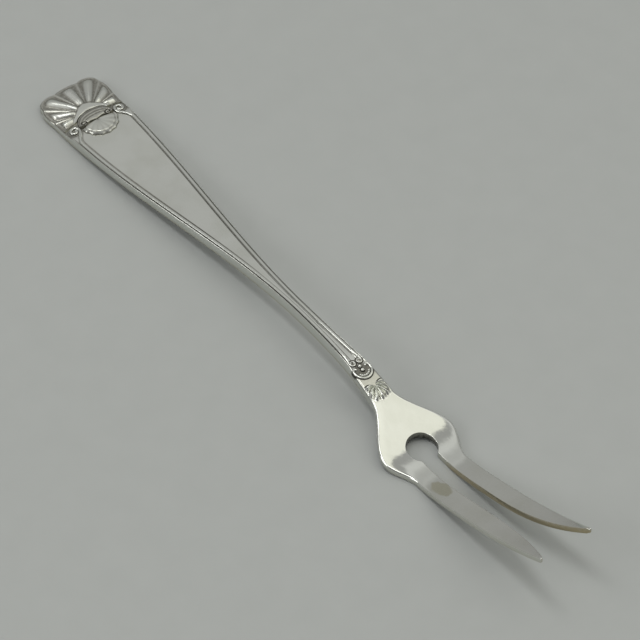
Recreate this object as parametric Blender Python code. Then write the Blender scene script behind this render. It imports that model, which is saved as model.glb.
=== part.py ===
"""Two-tine serving fork: arched handle, lobed shell terminal, scroll wires and a beaded neck.

Lengths are in metres. The fork lies face up on the plane z = 0, +X runs from the handle's end to
the tine tips, and the origin is under the middle of its length. A station is a distance from the
plain edge of the handle's end, beyond which the shell's lobes stand proud. Every ornament is modelled
flat, at its station, and then pressed to the fork's arch.
"""
import math

import bmesh
import bpy
from mathutils import Vector

MM = 0.001

# Side view: the top face rises from the handle's end to a crest, drops to the heel and rises again
LENGTH = 155.0 * MM
END_HEIGHT = 1.95 * MM
END_DROOP = 0.55 * MM
DROOP_FADE = 5.0 * MM
CREST_STATION = 91.0 * MM
CREST_HEIGHT = 7.3 * MM
HEEL_STATION = 118.0 * MM
HEEL_HEIGHT = 1.38 * MM
TINE_BEND_STATION = 130.0 * MM
TINE_BEND_HEIGHT = 4.15 * MM
TINE_BEND_SLOPE = math.tan(math.radians(17.5))
TIP_HEIGHT = 15.25 * MM
TIP_SLOPE = math.tan(math.radians(31.0))

# Thickness
END_THICKNESS = 2.15 * MM
BLADE_THICKNESS = 1.65 * MM
STEM_THICKNESS = 2.3 * MM
HEAD_THICKNESS = 1.45 * MM
TIP_THICKNESS = 1.15 * MM
BLADE_THIN_STATION = 24.0 * MM
TIP_THIN_LENGTH = 20.0 * MM

# Plan of the handle
BLADE_WIDTH = 14.2 * MM
SHELL_LENGTH = 8.6 * MM
END_ROUNDNESS = 5.0
STEM_STATION = 77.0 * MM
STEM_PANEL = 0.5 * MM
NECK_WIDTH = 4.4 * MM
SEAM_STATION = 98.2 * MM
RIM_WIDTH = 0.42 * MM
RIM_HEIGHT = 0.2 * MM
EDGE_DROP = 0.15 * MM
BACK_ROUND = 0.45 * MM

# Plan of the head and tines
HEAD_WIDTH = 16.0 * MM
HEAD_WIDE_STATION = 112.6 * MM
NECK_END_STATION = 101.3 * MM
NECK_END_WIDTH = 4.8 * MM
TINE_ROOT_STATION = 119.5 * MM
TINE_SPAN = 11.3 * MM
TINE_FLARE = 0.25 * MM
TINE_FLARE_RUN = 10.0 * MM
TINE_POINT_LENGTH = 22.0 * MM
TINE_POINT_SLOPE = 0.42
TIP_RADIUS = 0.3 * MM
SLOT_WIDTH = 3.6 * MM
KEYHOLE_RADIUS = 3.0 * MM
KEYHOLE_STATION = 113.65 * MM
PLATE_EDGE = 0.2 * MM

# Fits
SOLDER_GAP = 0.1 * MM
ORNAMENT_GAP = 0.3 * MM
SCARF_RUN = 0.6

# Half-round wires
WIRE_WIDTH = 0.72 * MM
WIRE_HEIGHT = 0.36 * MM
WIRE_GROOVE = 0.08 * MM
WIRE_JOIN_LENGTH = 5.0 * MM
VOLUTE_RADIUS = 1.25 * MM
VOLUTE_OFFSET = 2.1 * MM
VOLUTE_EDGE = 0.4 * MM
VOLUTE_TURNS = 1.15
VOLUTE_WIRE = 0.62
VOLUTE_EYE = 0.3 * MM
SCROLL_STATION = 93.6 * MM
SCROLL_TURNS = 0.78
SCROLL_WIRE = 0.45
SCROLL_EYE = 0.33 * MM

# Shell on the handle's end
LOBE_EDGES = (17.0, 47.0, 74.0, 99.0)
LOBE_FULLNESS = 0.9
LOBE_PROUD = 0.5 * MM
LOBE_NOTCH = 0.45 * MM
SCALLOP_FADE = 40.0
SHELL_MARGIN = 0.3 * MM
SHELL_HEIGHT = 0.6 * MM
SHELL_VALLEY = 0.12 * MM
LOBE_END_FALL = 0.55
LOBE_START = 2.0 * MM

# Cartouche below the shell
CARTOUCHE_OFFSET = 3.0 * MM
CARTOUCHE_RADIUS = 3.75 * MM
BAND_WIDTH = 2.6 * MM
BAND_HEIGHT = 0.52 * MM
BAND_SWEEP = 80.0
BAND_TAPER = 0.6
BAND_EDGE_HEIGHT = 0.2 * MM
BAND_OUTER_FALL = 0.08 * MM
LIP_LENGTH = 4.0 * MM
LIP_HEIGHT = 0.5 * MM
LIP_EDGE_HEIGHT = 0.25 * MM
PLEAT_DEPTH = 0.06 * MM
LIP_PLEATS = 7
LIP_WAVE = 0.12 * MM
LIP_SWEEP = 78.0
VALLEY = 0.6 * MM

# Neck ornament
BEAD_RADIUS = 0.39 * MM
BEAD_STATION = 94.78 * MM
BEAD_PITCH = 0.88 * MM
COLLAR_STATION = 95.65 * MM
COLLAR_RADIUS = 2.0 * MM
COLLAR_WIRE = 0.46 * MM
COLLAR_SWEEP = 112.0
COLLAR_CURL = 0.3 * MM
COLLAR_CURL_TURNS = 0.55
PEARLS = 7
PEARL_DIAMETER = 0.42 * MM
PEARL_GAP = 0.1 * MM
PEARL_WAIST = 0.42
PEARL_SWEEP = 66.0
FAN_STATION = 99.3 * MM
FAN_LENGTH = 3.6 * MM
FAN_SIDE_LENGTH = 2.15 * MM
FAN_SWEEP = 98.0
FAN_LOBES = 7
FAN_HEIGHT = 0.45 * MM
FAN_VALLEY = 0.12 * MM
FAN_NOTCH = 0.3 * MM
FAN_ROOT = 0.35 * MM

# Places that follow from the sizes above
STEM_HALF = STEM_PANEL / 2 + WIRE_WIDTH + WIRE_GROOVE + RIM_WIDTH
WIRE_INSET = RIM_WIDTH + WIRE_GROOVE + WIRE_WIDTH / 2
VOLUTE_STATION = SHELL_LENGTH + VOLUTE_OFFSET
VOLUTE_Y = BLADE_WIDTH / 2 - VOLUTE_EDGE - VOLUTE_RADIUS
CARTOUCHE_STATION = SHELL_LENGTH + CARTOUCHE_OFFSET
CARTOUCHE_HALF = VOLUTE_Y - VOLUTE_RADIUS - ORNAMENT_GAP


def ease(start, end, x):
    """Smooth step from 0 at start to 1 at end, level at both."""
    t = min(max((x - start) / (end - start), 0.0), 1.0)
    return t * t * (3.0 - 2.0 * t)


def hermite(x, start, end):
    """Cubic through two (x, z, slope) points."""
    (x0, z0, m0), (x1, z1, m1) = start, end
    run = x1 - x0
    t = (x - x0) / run
    rise = t * t * (3.0 - 2.0 * t)
    return (z0 + (z1 - z0) * rise + run * m0 * t * (1.0 - t) ** 2 - run * m1 * t * t * (1.0 - t))


def arch(s):
    """Height of the fork's top face at a station."""
    if s < CREST_STATION:
        return END_HEIGHT + (CREST_HEIGHT - END_HEIGHT) * ease(0.0, CREST_STATION, s)
    if s < HEEL_STATION:
        return CREST_HEIGHT + (HEEL_HEIGHT - CREST_HEIGHT) * ease(CREST_STATION, HEEL_STATION, s)
    heel = (HEEL_STATION, HEEL_HEIGHT, 0.0)
    bend = (TINE_BEND_STATION, TINE_BEND_HEIGHT, TINE_BEND_SLOPE)
    tip = (LENGTH, TIP_HEIGHT, TIP_SLOPE)
    if s < TINE_BEND_STATION:
        return hermite(s, heel, bend)
    return hermite(s, bend, tip)


def ground(s, y):
    """Height of the top face at a point: the arch, which droops towards the rim of the round end."""
    along = max(SHELL_LENGTH - s, 0.0) / SHELL_LENGTH
    across = abs(y) / (BLADE_WIDTH / 2)
    rim = (along ** END_ROUNDNESS + across ** END_ROUNDNESS) ** (1.0 / END_ROUNDNESS)
    fade = 1.0 - ease(SHELL_LENGTH, SHELL_LENGTH + DROOP_FADE, s)
    return arch(s) - END_DROOP * fade * rim ** 2


def lobe_across(degrees, edges):
    """Place across a lobe, from -1 to 1, at an angle from the middle of a fan."""
    low = -edges[0]
    for high in edges:
        if degrees <= high:
            return 2.0 * (degrees - low) / (high - low) - 1.0
        low = high
    return 1.0


def end_reach(degrees):
    """Distance from the round end's centre to its edge: proud on each lobe and notched between them."""
    angle = math.radians(degrees)
    along = abs(math.cos(angle) / SHELL_LENGTH) ** END_ROUNDNESS
    across = abs(math.sin(angle) / (BLADE_WIDTH / 2)) ** END_ROUNDNESS
    plain = (along + across) ** (-1.0 / END_ROUNDNESS)
    scallop = LOBE_PROUD - LOBE_NOTCH * abs(lobe_across(abs(degrees), LOBE_EDGES)) ** 3
    return plain + scallop * (1.0 - ease(SCALLOP_FADE, 90.0, abs(degrees)))


def half_width(s):
    """Half the handle's width beyond its round end: a long taper to the stem and a flare to the neck."""
    blade = BLADE_WIDTH / 2
    if s < STEM_STATION:
        return blade + (STEM_HALF - blade) * ease(SHELL_LENGTH, STEM_STATION, s)
    flare = (s - STEM_STATION) / (SEAM_STATION - STEM_STATION)
    return STEM_HALF + (NECK_WIDTH / 2 - STEM_HALF) * flare ** 2


def handle_inset(s, y):
    """Distance of a plan point from the handle's edge."""
    if s >= SHELL_LENGTH:
        return half_width(s) - abs(y)
    along = SHELL_LENGTH - s
    return end_reach(math.degrees(math.atan2(y, along))) - math.hypot(along, y)


def handle_thickness(s):
    """Thick under the shell, thin along the panel and thick again in the stem."""
    thin = END_THICKNESS + (BLADE_THICKNESS - END_THICKNESS) * ease(SHELL_LENGTH, BLADE_THIN_STATION, s)
    return thin + (STEM_THICKNESS - BLADE_THICKNESS) * ease(BLADE_THIN_STATION, STEM_STATION, s)


def head_thickness(s):
    """As thick as the stem at the scarf, then a plate that thins at the tine tips."""
    plate = STEM_THICKNESS + (HEAD_THICKNESS - STEM_THICKNESS) * ease(NECK_END_STATION, HEAD_WIDE_STATION, s)
    return plate + (TIP_THICKNESS - HEAD_THICKNESS) * ease(LENGTH - TIP_THIN_LENGTH, LENGTH, s)


def wire_line(s):
    """Distance of the scroll wires from the axis along the handle's edge."""
    return half_width(s) - WIRE_INSET


def clear_scene():
    for obj in list(bpy.data.objects):
        bpy.data.objects.remove(obj, do_unlink=True)


def make_collection(name):
    collection = bpy.data.collections.new(name)
    bpy.context.scene.collection.children.link(collection)
    return collection


def silver(name, colour, roughness):
    material = bpy.data.materials.new(name)
    material.use_nodes = True
    shader = material.node_tree.nodes["Principled BSDF"]
    shader.inputs["Base Color"].default_value = (*colour, 1.0)
    shader.inputs["Metallic"].default_value = 1.0
    shader.inputs["Roughness"].default_value = roughness
    return material


def add_part(name, bm, colour, roughness):
    """Turn a bmesh into a named part under the fork's empty."""
    bmesh.ops.recalc_face_normals(bm, faces=bm.faces[:])
    mesh = bpy.data.meshes.new(name)
    bm.to_mesh(mesh)
    bm.free()
    mesh.shade_smooth()
    mesh.set_sharp_from_angle(angle=math.radians(35.0))
    mesh.materials.append(silver(name + "_silver", colour, roughness))
    part = bpy.data.objects.new(name, mesh)
    fork.objects.link(part)
    part.parent = origin
    return part


def curve_mesh(curve, name):
    """The bmesh of a curve, with its caps welded and the curve removed."""
    source = bpy.data.objects.new(name, curve)
    guides.objects.link(source)
    bpy.context.view_layer.update()
    evaluated = source.evaluated_get(bpy.context.evaluated_depsgraph_get())
    mesh = bpy.data.meshes.new_from_object(evaluated)
    bm = bmesh.new()
    bm.from_mesh(mesh)
    bmesh.ops.remove_doubles(bm, verts=bm.verts[:], dist=0.00001)
    bpy.data.objects.remove(source)
    bpy.data.meshes.remove(mesh)
    return bm


def press(bm):
    """Bend a flat ornament to the arch, a solder film above the metal under it."""
    for vert in bm.verts:
        vert.co.z += ground(vert.co.x, vert.co.y) + SOLDER_GAP


def relief(columns, rows, place, height):
    """Solid with a flat base and a carved top, over a grid with u and v from 0 to 1."""
    bm = bmesh.new()
    bmesh.ops.create_grid(bm, x_segments=columns, y_segments=rows, size=0.5)
    raised = bmesh.ops.extrude_face_region(bm, geom=bm.faces[:])["geom"]
    tops = {element for element in raised if isinstance(element, bmesh.types.BMVert)}
    for vert in bm.verts:
        u = vert.co.x + 0.5
        v = vert.co.y + 0.5
        s, y = place(u, v)
        vert.co = (s, y, height(u, v) if vert in tops else 0.0)
    press(bm)
    return bm


def half_round_profile():
    """Section of the wires: flat below, rounded above, with its width and height as sizes."""
    curve = bpy.data.curves.new("half_round", "CURVE")
    curve.dimensions = "2D"
    steps = 6
    angles = [math.pi * i / steps for i in range(steps + 1)]
    spline = curve.splines.new("POLY")
    spline.points.add(steps)
    for point, angle in zip(spline.points, angles):
        point.co = (WIRE_WIDTH / 2 * math.cos(angle), WIRE_HEIGHT * math.sin(angle), 0.0, 1.0)
    spline.use_cyclic_u = True
    profile = bpy.data.objects.new("half_round", curve)
    profile.hide_render = True
    profile.display_type = "WIRE"
    guides.objects.link(profile)
    return profile


def wire(name, path):
    """Half-round wire along (station, y, share of full size) points, pressed to the arch."""
    curve = bpy.data.curves.new(name, "CURVE")
    curve.dimensions = "3D"
    curve.twist_mode = "Z_UP"
    curve.bevel_mode = "OBJECT"
    curve.bevel_object = half_round
    curve.use_fill_caps = True
    spline = curve.splines.new("POLY")
    spline.points.add(len(path) - 1)
    for point, (s, y, share) in zip(spline.points, path):
        point.co = (s, y, 0.0, 1.0)
        point.radius = share
    bm = curve_mesh(curve, name)
    press(bm)
    return bm


def spiral(centre, start_radius, end_radius, start_angle, turns, steps):
    """Plan points of a spiral, with angles in degrees and turns counted anticlockwise."""
    points = []
    for i in range(steps + 1):
        t = i / steps
        radius = start_radius + (end_radius - start_radius) * t
        angle = math.radians(start_angle) + 2.0 * math.pi * turns * t
        points.append((centre[0] + radius * math.cos(angle), centre[1] + radius * math.sin(angle)))
    return points


def handle_top(s, y):
    """Top face of the handle, with a rim along its edge between the volute and the collar."""
    rim_on = ease(VOLUTE_STATION, VOLUTE_STATION + WIRE_JOIN_LENGTH, s)
    rim_off = ease(SCROLL_STATION, COLLAR_STATION - COLLAR_CURL, s)
    across = handle_inset(s, y) / RIM_WIDTH
    rim = RIM_HEIGHT * (rim_on - rim_off) * max(1.0 - abs(2.0 * across - 1.0), 0.0)
    return ground(s, y) + rim - EDGE_DROP * max(1.0 - 2.0 * across, 0.0)


def handle_back(s, y):
    """Back face of the handle, rounded up under the rim and flat where it lies on the table."""
    across = min(handle_inset(s, y) / RIM_WIDTH, 1.0)
    return max(arch(s) - handle_thickness(s), 0.0) + BACK_ROUND * (1.0 - across)


def handle_rows():
    """Rows across the far half: angles about the round end's centre, then stations down to the scarf."""
    lobe_steps = 6
    bounds = [0.0] + [min(edge, 90.0) for edge in LOBE_EDGES]
    angles = []
    for low, high in zip(bounds, bounds[1:]):
        angles += [low + (high - low) * i / lobe_steps for i in range(lobe_steps)]
    blade_steps = 34
    neck_start = SCROLL_STATION - STEM_THICKNESS
    run = neck_start - SHELL_LENGTH
    stations = [SHELL_LENGTH + run * i / blade_steps for i in range(blade_steps)]
    neck_steps = 6
    neck_run = SEAM_STATION - SOLDER_GAP / 2 - neck_start
    stations += [neck_start + neck_run * i / neck_steps for i in range(neck_steps + 1)]
    return angles, stations


def build_handle_blade():
    """Half a plan with columns along the rim, mirrored, thickened and cut to the scarf at its end."""
    angles, stations = handle_rows()
    rows = len(angles) + len(stations) - 1
    rim_columns = 2
    panel_columns = 3
    columns = rim_columns + panel_columns
    bm = bmesh.new()
    bmesh.ops.create_grid(bm, x_segments=rows, y_segments=columns, size=0.5)
    for vert in bm.verts:
        row = round((vert.co.x + 0.5) * rows)
        column = round((vert.co.y + 0.5) * columns)
        inset = RIM_WIDTH * min(column / rim_columns, 1.0)
        share = max(column - rim_columns, 0) / panel_columns
        if row < len(angles):
            angle = math.radians(angles[row])
            radius = (end_reach(angles[row]) - inset) * (1.0 - share)
            vert.co = (SHELL_LENGTH - radius * math.cos(angle), radius * math.sin(angle), 0.0)
        else:
            s = stations[row - len(angles)]
            vert.co = (s, (half_width(s) - inset) * (1.0 - share), 0.0)
    weld = 0.0005 * MM
    bmesh.ops.remove_doubles(bm, verts=bm.verts[:], dist=weld)
    bmesh.ops.mirror(bm, geom=bm.verts[:] + bm.edges[:] + bm.faces[:], merge_dist=weld, axis="Y")
    bmesh.ops.remove_doubles(bm, verts=bm.verts[:], dist=weld)
    raised = bmesh.ops.extrude_face_region(bm, geom=bm.faces[:])["geom"]
    tops = {element for element in raised if isinstance(element, bmesh.types.BMVert)}
    for vert in bm.verts:
        s, y, _ = vert.co
        vert.co.z = handle_top(s, y) if vert in tops else handle_back(s, y)
        if s > stations[-1] - weld:
            depth = arch(s) - vert.co.z
            vert.co.x = s + SCARF_RUN * depth
            vert.co.z = arch(vert.co.x) - depth
    return bm


def arc_pull(swing, radius):
    """Length of the Bezier handles that draw an arc."""
    return 4.0 / 3.0 * math.tan(swing / 4.0) * radius


def head_outline():
    """Bezier points (place, handle before, handle after) of the far half of the head plate."""
    root = TINE_SPAN / 2
    flare = root + TINE_FLARE
    plan = [(SEAM_STATION - STEM_THICKNESS, NECK_WIDTH / 2),
            (NECK_END_STATION, NECK_END_WIDTH / 2),
            (HEAD_WIDE_STATION, HEAD_WIDTH / 2),
            (TINE_ROOT_STATION, root),
            (LENGTH - TINE_FLARE_RUN, flare),
            (LENGTH - TIP_RADIUS, flare)]
    round_tip = arc_pull(math.pi / 2, TIP_RADIUS)
    points = []
    for i, (s, y) in enumerate(plan):
        before = (s - plan[i - 1][0]) / 3.0 if i else 0.0
        after = (plan[i + 1][0] - s) / 3.0 if i + 1 < len(plan) else round_tip
        points.append(((s, y), (s - before, y), (s + after, y)))

    tip_y = flare - TIP_RADIUS
    lean = math.atan(TINE_POINT_SLOPE)
    short_tip = arc_pull(math.pi / 2 - lean, TIP_RADIUS)
    points.append(((LENGTH, tip_y), (LENGTH, tip_y + round_tip), (LENGTH, tip_y - short_tip)))
    edge_s = LENGTH - TIP_RADIUS + TIP_RADIUS * math.sin(lean)
    edge_y = tip_y - TIP_RADIUS * math.cos(lean)
    third = TINE_POINT_LENGTH / 3.0
    points.append(((edge_s, edge_y),
                   (edge_s + short_tip * math.cos(lean), edge_y + short_tip * math.sin(lean)),
                   (edge_s - third, edge_y - TINE_POINT_SLOPE * third)))

    slot = SLOT_WIDTH / 2
    point_s = LENGTH - TINE_POINT_LENGTH
    points.append(((point_s, slot), (point_s + third, slot), (point_s - third, slot)))
    mouth_angle = math.asin(slot / KEYHOLE_RADIUS)
    mouth = KEYHOLE_STATION + KEYHOLE_RADIUS * math.cos(mouth_angle)
    pull = arc_pull(math.pi / 2 - mouth_angle, KEYHOLE_RADIUS)
    points.append(((mouth, slot), (mouth + third, slot),
                   (mouth - pull * math.sin(mouth_angle), slot + pull * math.cos(mouth_angle))))
    quarter = arc_pull(math.pi / 2, KEYHOLE_RADIUS)
    points.append(((KEYHOLE_STATION, KEYHOLE_RADIUS), (KEYHOLE_STATION + pull, KEYHOLE_RADIUS),
                   (KEYHOLE_STATION - quarter, KEYHOLE_RADIUS)))
    return points


def build_fork_head():
    """Plate cut to its outline with rounded edges, then bent to the arch and flattened at the heel."""
    far = head_outline()
    quarter = arc_pull(math.pi / 2, KEYHOLE_RADIUS)
    apex_s = KEYHOLE_STATION - KEYHOLE_RADIUS
    apex = ((apex_s, 0.0), (apex_s, quarter), (apex_s, -quarter))
    near = [tuple((s, -y) for s, y in (point, after, before)) for point, before, after in reversed(far)]
    outline = far + [apex] + near
    half = STEM_THICKNESS / 2
    curve = bpy.data.curves.new("head_outline", "CURVE")
    curve.dimensions = "2D"
    curve.fill_mode = "BOTH"
    curve.extrude = half - PLATE_EDGE
    curve.bevel_depth = PLATE_EDGE
    curve.bevel_resolution = 0
    curve.offset = -PLATE_EDGE
    curve.resolution_u = 7
    spline = curve.splines.new("BEZIER")
    spline.bezier_points.add(len(outline) - 1)
    spline.use_cyclic_u = True
    for target, (point, before, after) in zip(spline.bezier_points, outline):
        target.handle_left_type = "FREE"
        target.handle_right_type = "FREE"
        target.co = (*point, 0.0)
        target.handle_left = (*before, 0.0)
        target.handle_right = (*after, 0.0)
    bm = curve_mesh(curve, "head_outline")

    scarf = bmesh.ops.bisect_plane(bm, geom=bm.verts[:] + bm.edges[:] + bm.faces[:], dist=1e-7,
                                   plane_co=(SEAM_STATION + SOLDER_GAP / 2, 0.0, half),
                                   plane_no=(1.0, 0.0, SCARF_RUN), clear_inner=True)
    cut = [element for element in scarf["geom_cut"] if isinstance(element, bmesh.types.BMEdge)]
    bmesh.ops.contextual_create(bm, geom=cut)
    bend_steps = 34
    start = SEAM_STATION + STEM_THICKNESS * SCARF_RUN
    for i in range(1, bend_steps):
        station = start + (LENGTH - start) * i / bend_steps
        bmesh.ops.bisect_plane(bm, geom=bm.verts[:] + bm.edges[:] + bm.faces[:], dist=1e-7,
                               plane_co=(station, 0.0, 0.0), plane_no=(1.0, 0.0, 0.0))
    for vert in bm.verts:
        s = vert.co.x
        depth = head_thickness(s) * (0.5 - vert.co.z / (2.0 * half))
        vert.co.z = max(arch(s) - depth, 0.0)
    return bm


def lobe_axis(u, edges):
    """Angle in radians at u across a fan, and the place across its lobe from -1 to 1."""
    bounds = [-edge for edge in reversed(edges)] + list(edges)
    count = len(bounds) - 1
    lobe = min(int(u * count), count - 1)
    within = u * count - lobe
    low, high = bounds[lobe], bounds[lobe + 1]
    return math.radians(low + (high - low) * within), 2.0 * within - 1.0


def lobe_crown(across):
    """Rounded section of a lobe, from 0 in the valleys to 1 on its crest."""
    return math.sqrt(max(1.0 - (across / LOBE_FULLNESS) ** 2, 0.0))


def shell_root(angle):
    """Radius of the shell's inner edge, a gap outside the cartouche band."""
    reach = CARTOUCHE_RADIUS + ORNAMENT_GAP
    along = CARTOUCHE_OFFSET * math.cos(angle)
    across = CARTOUCHE_OFFSET * math.sin(angle)
    return math.sqrt(reach ** 2 - across ** 2) - along


def shell_radius(u, v):
    angle, across = lobe_axis(u, LOBE_EDGES)
    root = shell_root(angle)
    outer = end_reach(math.degrees(angle)) - SHELL_MARGIN
    return angle, across, root, outer, root + (outer - root) * v


def shell_place(u, v):
    angle, _, _, _, radius = shell_radius(u, v)
    return SHELL_LENGTH - radius * math.cos(angle), radius * math.sin(angle)


def shell_height(u, v):
    """Plain heart, then rounded lobes between valleys, falling at their outer ends."""
    _, across, root, outer, radius = shell_radius(u, v)
    share = (radius - root - LOBE_START) / (outer - root - LOBE_START)
    end_fall = 1.0 - LOBE_END_FALL * ease(0.7, 1.0, share)
    lobe = SHELL_VALLEY + (SHELL_HEIGHT - SHELL_VALLEY) * lobe_crown(across) * end_fall
    return SHELL_HEIGHT + (lobe - SHELL_HEIGHT) * ease(-0.1, 0.15, share)


def band_polar(u, v):
    """Angle from the handle's end and radius within the crescent band."""
    angle = math.radians(BAND_SWEEP) * (2.0 * u - 1.0)
    inner = CARTOUCHE_RADIUS - BAND_WIDTH * (1.0 - BAND_TAPER * (2.0 * u - 1.0) ** 2)
    return angle, inner + (CARTOUCHE_RADIUS - inner) * v


def band_place(u, v):
    angle, radius = band_polar(u, v)
    widen = CARTOUCHE_HALF / CARTOUCHE_RADIUS
    return CARTOUCHE_STATION - radius * math.cos(angle), widen * radius * math.sin(angle)


def band_height(u, v):
    """Rolled section that is highest at its inner side."""
    roll = math.sqrt(max(1.0 - (2.0 * v - 1.0) ** 2, 0.0))
    return BAND_EDGE_HEIGHT + (BAND_HEIGHT - BAND_EDGE_HEIGHT - BAND_OUTER_FALL * v) * roll


def lip_place(u, v):
    """Half disc that opens towards the tines, with a wavy hem."""
    angle = math.radians(LIP_SWEEP) * (2.0 * u - 1.0)
    inner = VALLEY / 2
    side = abs(2.0 * u - 1.0) ** 2
    hem = LIP_LENGTH + (CARTOUCHE_HALF - LIP_LENGTH) * side
    hem += LIP_WAVE * v * math.cos(2.0 * math.pi * LIP_PLEATS * (u - 0.5))
    radius = inner + (hem - LIP_WAVE - inner) * v
    start = CARTOUCHE_STATION - CARTOUCHE_RADIUS + BAND_WIDTH + VALLEY / 2
    return start + radius * math.cos(angle), radius * math.sin(angle)


def lip_height(u, v):
    """Crowned pleats that deepen towards a raised hem."""
    crown = (LIP_HEIGHT - LIP_EDGE_HEIGHT) * math.sin(math.pi * v)
    pleat = PLEAT_DEPTH * v * math.cos(2.0 * math.pi * LIP_PLEATS * (u - 0.5))
    return LIP_EDGE_HEIGHT + crown + pleat


def fan_polar(u, v):
    edges = tuple(FAN_SWEEP * (2 * i + 1) / FAN_LOBES for i in range((FAN_LOBES + 1) // 2))
    angle, across = lobe_axis(u, edges)
    side = abs(math.sin(angle)) ** 2
    outer = FAN_LENGTH + (FAN_SIDE_LENGTH - FAN_LENGTH) * side
    outer -= FAN_NOTCH * abs(across) ** 3
    return angle, across, FAN_ROOT + (outer - FAN_ROOT) * v


def fan_place(u, v):
    """Fan that spreads towards the tines from a bracket-shaped root."""
    angle, _, radius = fan_polar(u, v)
    bracket = FAN_ROOT * abs(math.sin(angle)) * (1.0 - v)
    return FAN_STATION - bracket + radius * math.cos(angle), radius * math.sin(angle)


def fan_height(u, v):
    """Rounded lobes that rise from the root and fall at their ends."""
    _, across, _ = fan_polar(u, v)
    length = (1.0 + ease(0.0, 0.4, v)) / 2 * (1.0 - LOBE_END_FALL * ease(0.6, 1.0, v))
    return FAN_VALLEY + (FAN_HEIGHT - FAN_VALLEY) * lobe_crown(across) * length


def scroll_room(s):
    """Centre and outer radius of a neck scroll between the axis and the rim."""
    inner = ORNAMENT_GAP / 2
    outer = half_width(s) - RIM_WIDTH - WIRE_GROOVE
    return (inner + outer) / 2, (outer - inner) / 2


def scroll_path(side):
    """Wire from the volute's eye, out to the edge, along the handle and into the neck scroll."""
    volute_line = VOLUTE_RADIUS - VOLUTE_WIRE * WIRE_WIDTH / 2
    start_angle = -90.0 - 360.0 * VOLUTE_TURNS
    volute = spiral((VOLUTE_STATION, VOLUTE_Y), VOLUTE_EYE, volute_line, start_angle, VOLUTE_TURNS, 22)
    path = [(s, y, VOLUTE_WIRE) for s, y in volute]
    join = VOLUTE_STATION + WIRE_JOIN_LENGTH
    slope = (wire_line(join + MM) - wire_line(join)) / MM
    steps = 6
    for i in range(1, steps + 1):
        s = VOLUTE_STATION + WIRE_JOIN_LENGTH * i / steps
        y = hermite(s, (VOLUTE_STATION, VOLUTE_Y - volute_line, 0.0), (join, wire_line(join), slope))
        path.append((s, y, VOLUTE_WIRE + (1.0 - VOLUTE_WIRE) * ease(0.0, steps, i)))
    scroll_y, scroll_radius = scroll_room(SCROLL_STATION)
    scroll_line = scroll_radius - SCROLL_WIRE * WIRE_WIDTH / 2
    lead = SCROLL_STATION - 4.0 * scroll_radius
    runs = 24
    for i in range(1, runs + 1):
        s = join + (lead - join) * i / runs
        path.append((s, wire_line(s), 1.0))
    lead_slope = (wire_line(lead + MM) - wire_line(lead)) / MM
    for i in range(1, steps):
        s = lead + (SCROLL_STATION - lead) * i / steps
        y = hermite(s, (lead, wire_line(lead), lead_slope), (SCROLL_STATION, scroll_y + scroll_line, 0.0))
        path.append((s, y, 1.0 + (SCROLL_WIRE - 1.0) * ease(0.0, steps - 1, i)))
    curl = spiral((SCROLL_STATION, scroll_y), scroll_line, SCROLL_EYE, 90.0, -SCROLL_TURNS, 16)
    path += [(s, y, SCROLL_WIRE) for s, y in curl]
    return [(s, side * y, share) for s, y, share in path]


def build_bead(station):
    """Half bead on the axis."""
    bm = bmesh.new()
    bmesh.ops.create_uvsphere(bm, u_segments=14, v_segments=8, radius=BEAD_RADIUS)
    half = bmesh.ops.bisect_plane(bm, geom=bm.verts[:] + bm.edges[:] + bm.faces[:], dist=1e-7,
                                  plane_co=(0.0, 0.0, 0.0), plane_no=(0.0, 0.0, 1.0), clear_inner=True)
    cut = [element for element in half["geom_cut"] if isinstance(element, bmesh.types.BMEdge)]
    bmesh.ops.contextual_create(bm, geom=cut)
    bmesh.ops.translate(bm, verts=bm.verts[:], vec=Vector((station, 0.0, 0.0)))
    press(bm)
    return bm


def collar_path():
    """Horseshoe from one curled end to the other, open towards the handle."""
    share = COLLAR_WIRE / WIRE_WIDTH
    line = COLLAR_RADIUS - COLLAR_WIRE / 2
    sweep = math.radians(COLLAR_SWEEP)
    reach = line - COLLAR_CURL
    curl_centre = (COLLAR_STATION + reach * math.cos(sweep), reach * math.sin(sweep))
    curl = spiral(curl_centre, COLLAR_CURL, COLLAR_CURL, COLLAR_SWEEP, COLLAR_CURL_TURNS, 8)
    steps = 20
    arc = []
    for i in range(steps):
        angle = sweep * (2.0 * i / steps - 1.0)
        arc.append((COLLAR_STATION + line * math.cos(angle), line * math.sin(angle)))
    start = [(s, -y) for s, y in reversed(curl)]
    return [(s, y, share) for s, y in start + arc[1:] + curl]


def pearl_path():
    """Row of pearls inside the collar: the wire swells and narrows once for each pearl."""
    line = COLLAR_RADIUS - COLLAR_WIRE - PEARL_GAP - PEARL_DIAMETER / 2
    steps = 6 * PEARLS
    path = []
    for i in range(steps + 1):
        angle = math.radians(PEARL_SWEEP) * (2.0 * i / steps - 1.0)
        swell = (1.0 - math.cos(2.0 * math.pi * PEARLS * i / steps)) / 2
        share = (PEARL_WAIST + (1.0 - PEARL_WAIST) * swell) * PEARL_DIAMETER / WIRE_WIDTH
        path.append((COLLAR_STATION + line * math.cos(angle), line * math.sin(angle), share))
    return path


clear_scene()
fork = make_collection("cold_meat_fork")
guides = make_collection("guides")
origin = bpy.data.objects.new("fork_origin", None)
origin.location = ((LOBE_PROUD - LENGTH) / 2, 0.0, 0.0)
fork.objects.link(origin)
half_round = half_round_profile()

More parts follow.
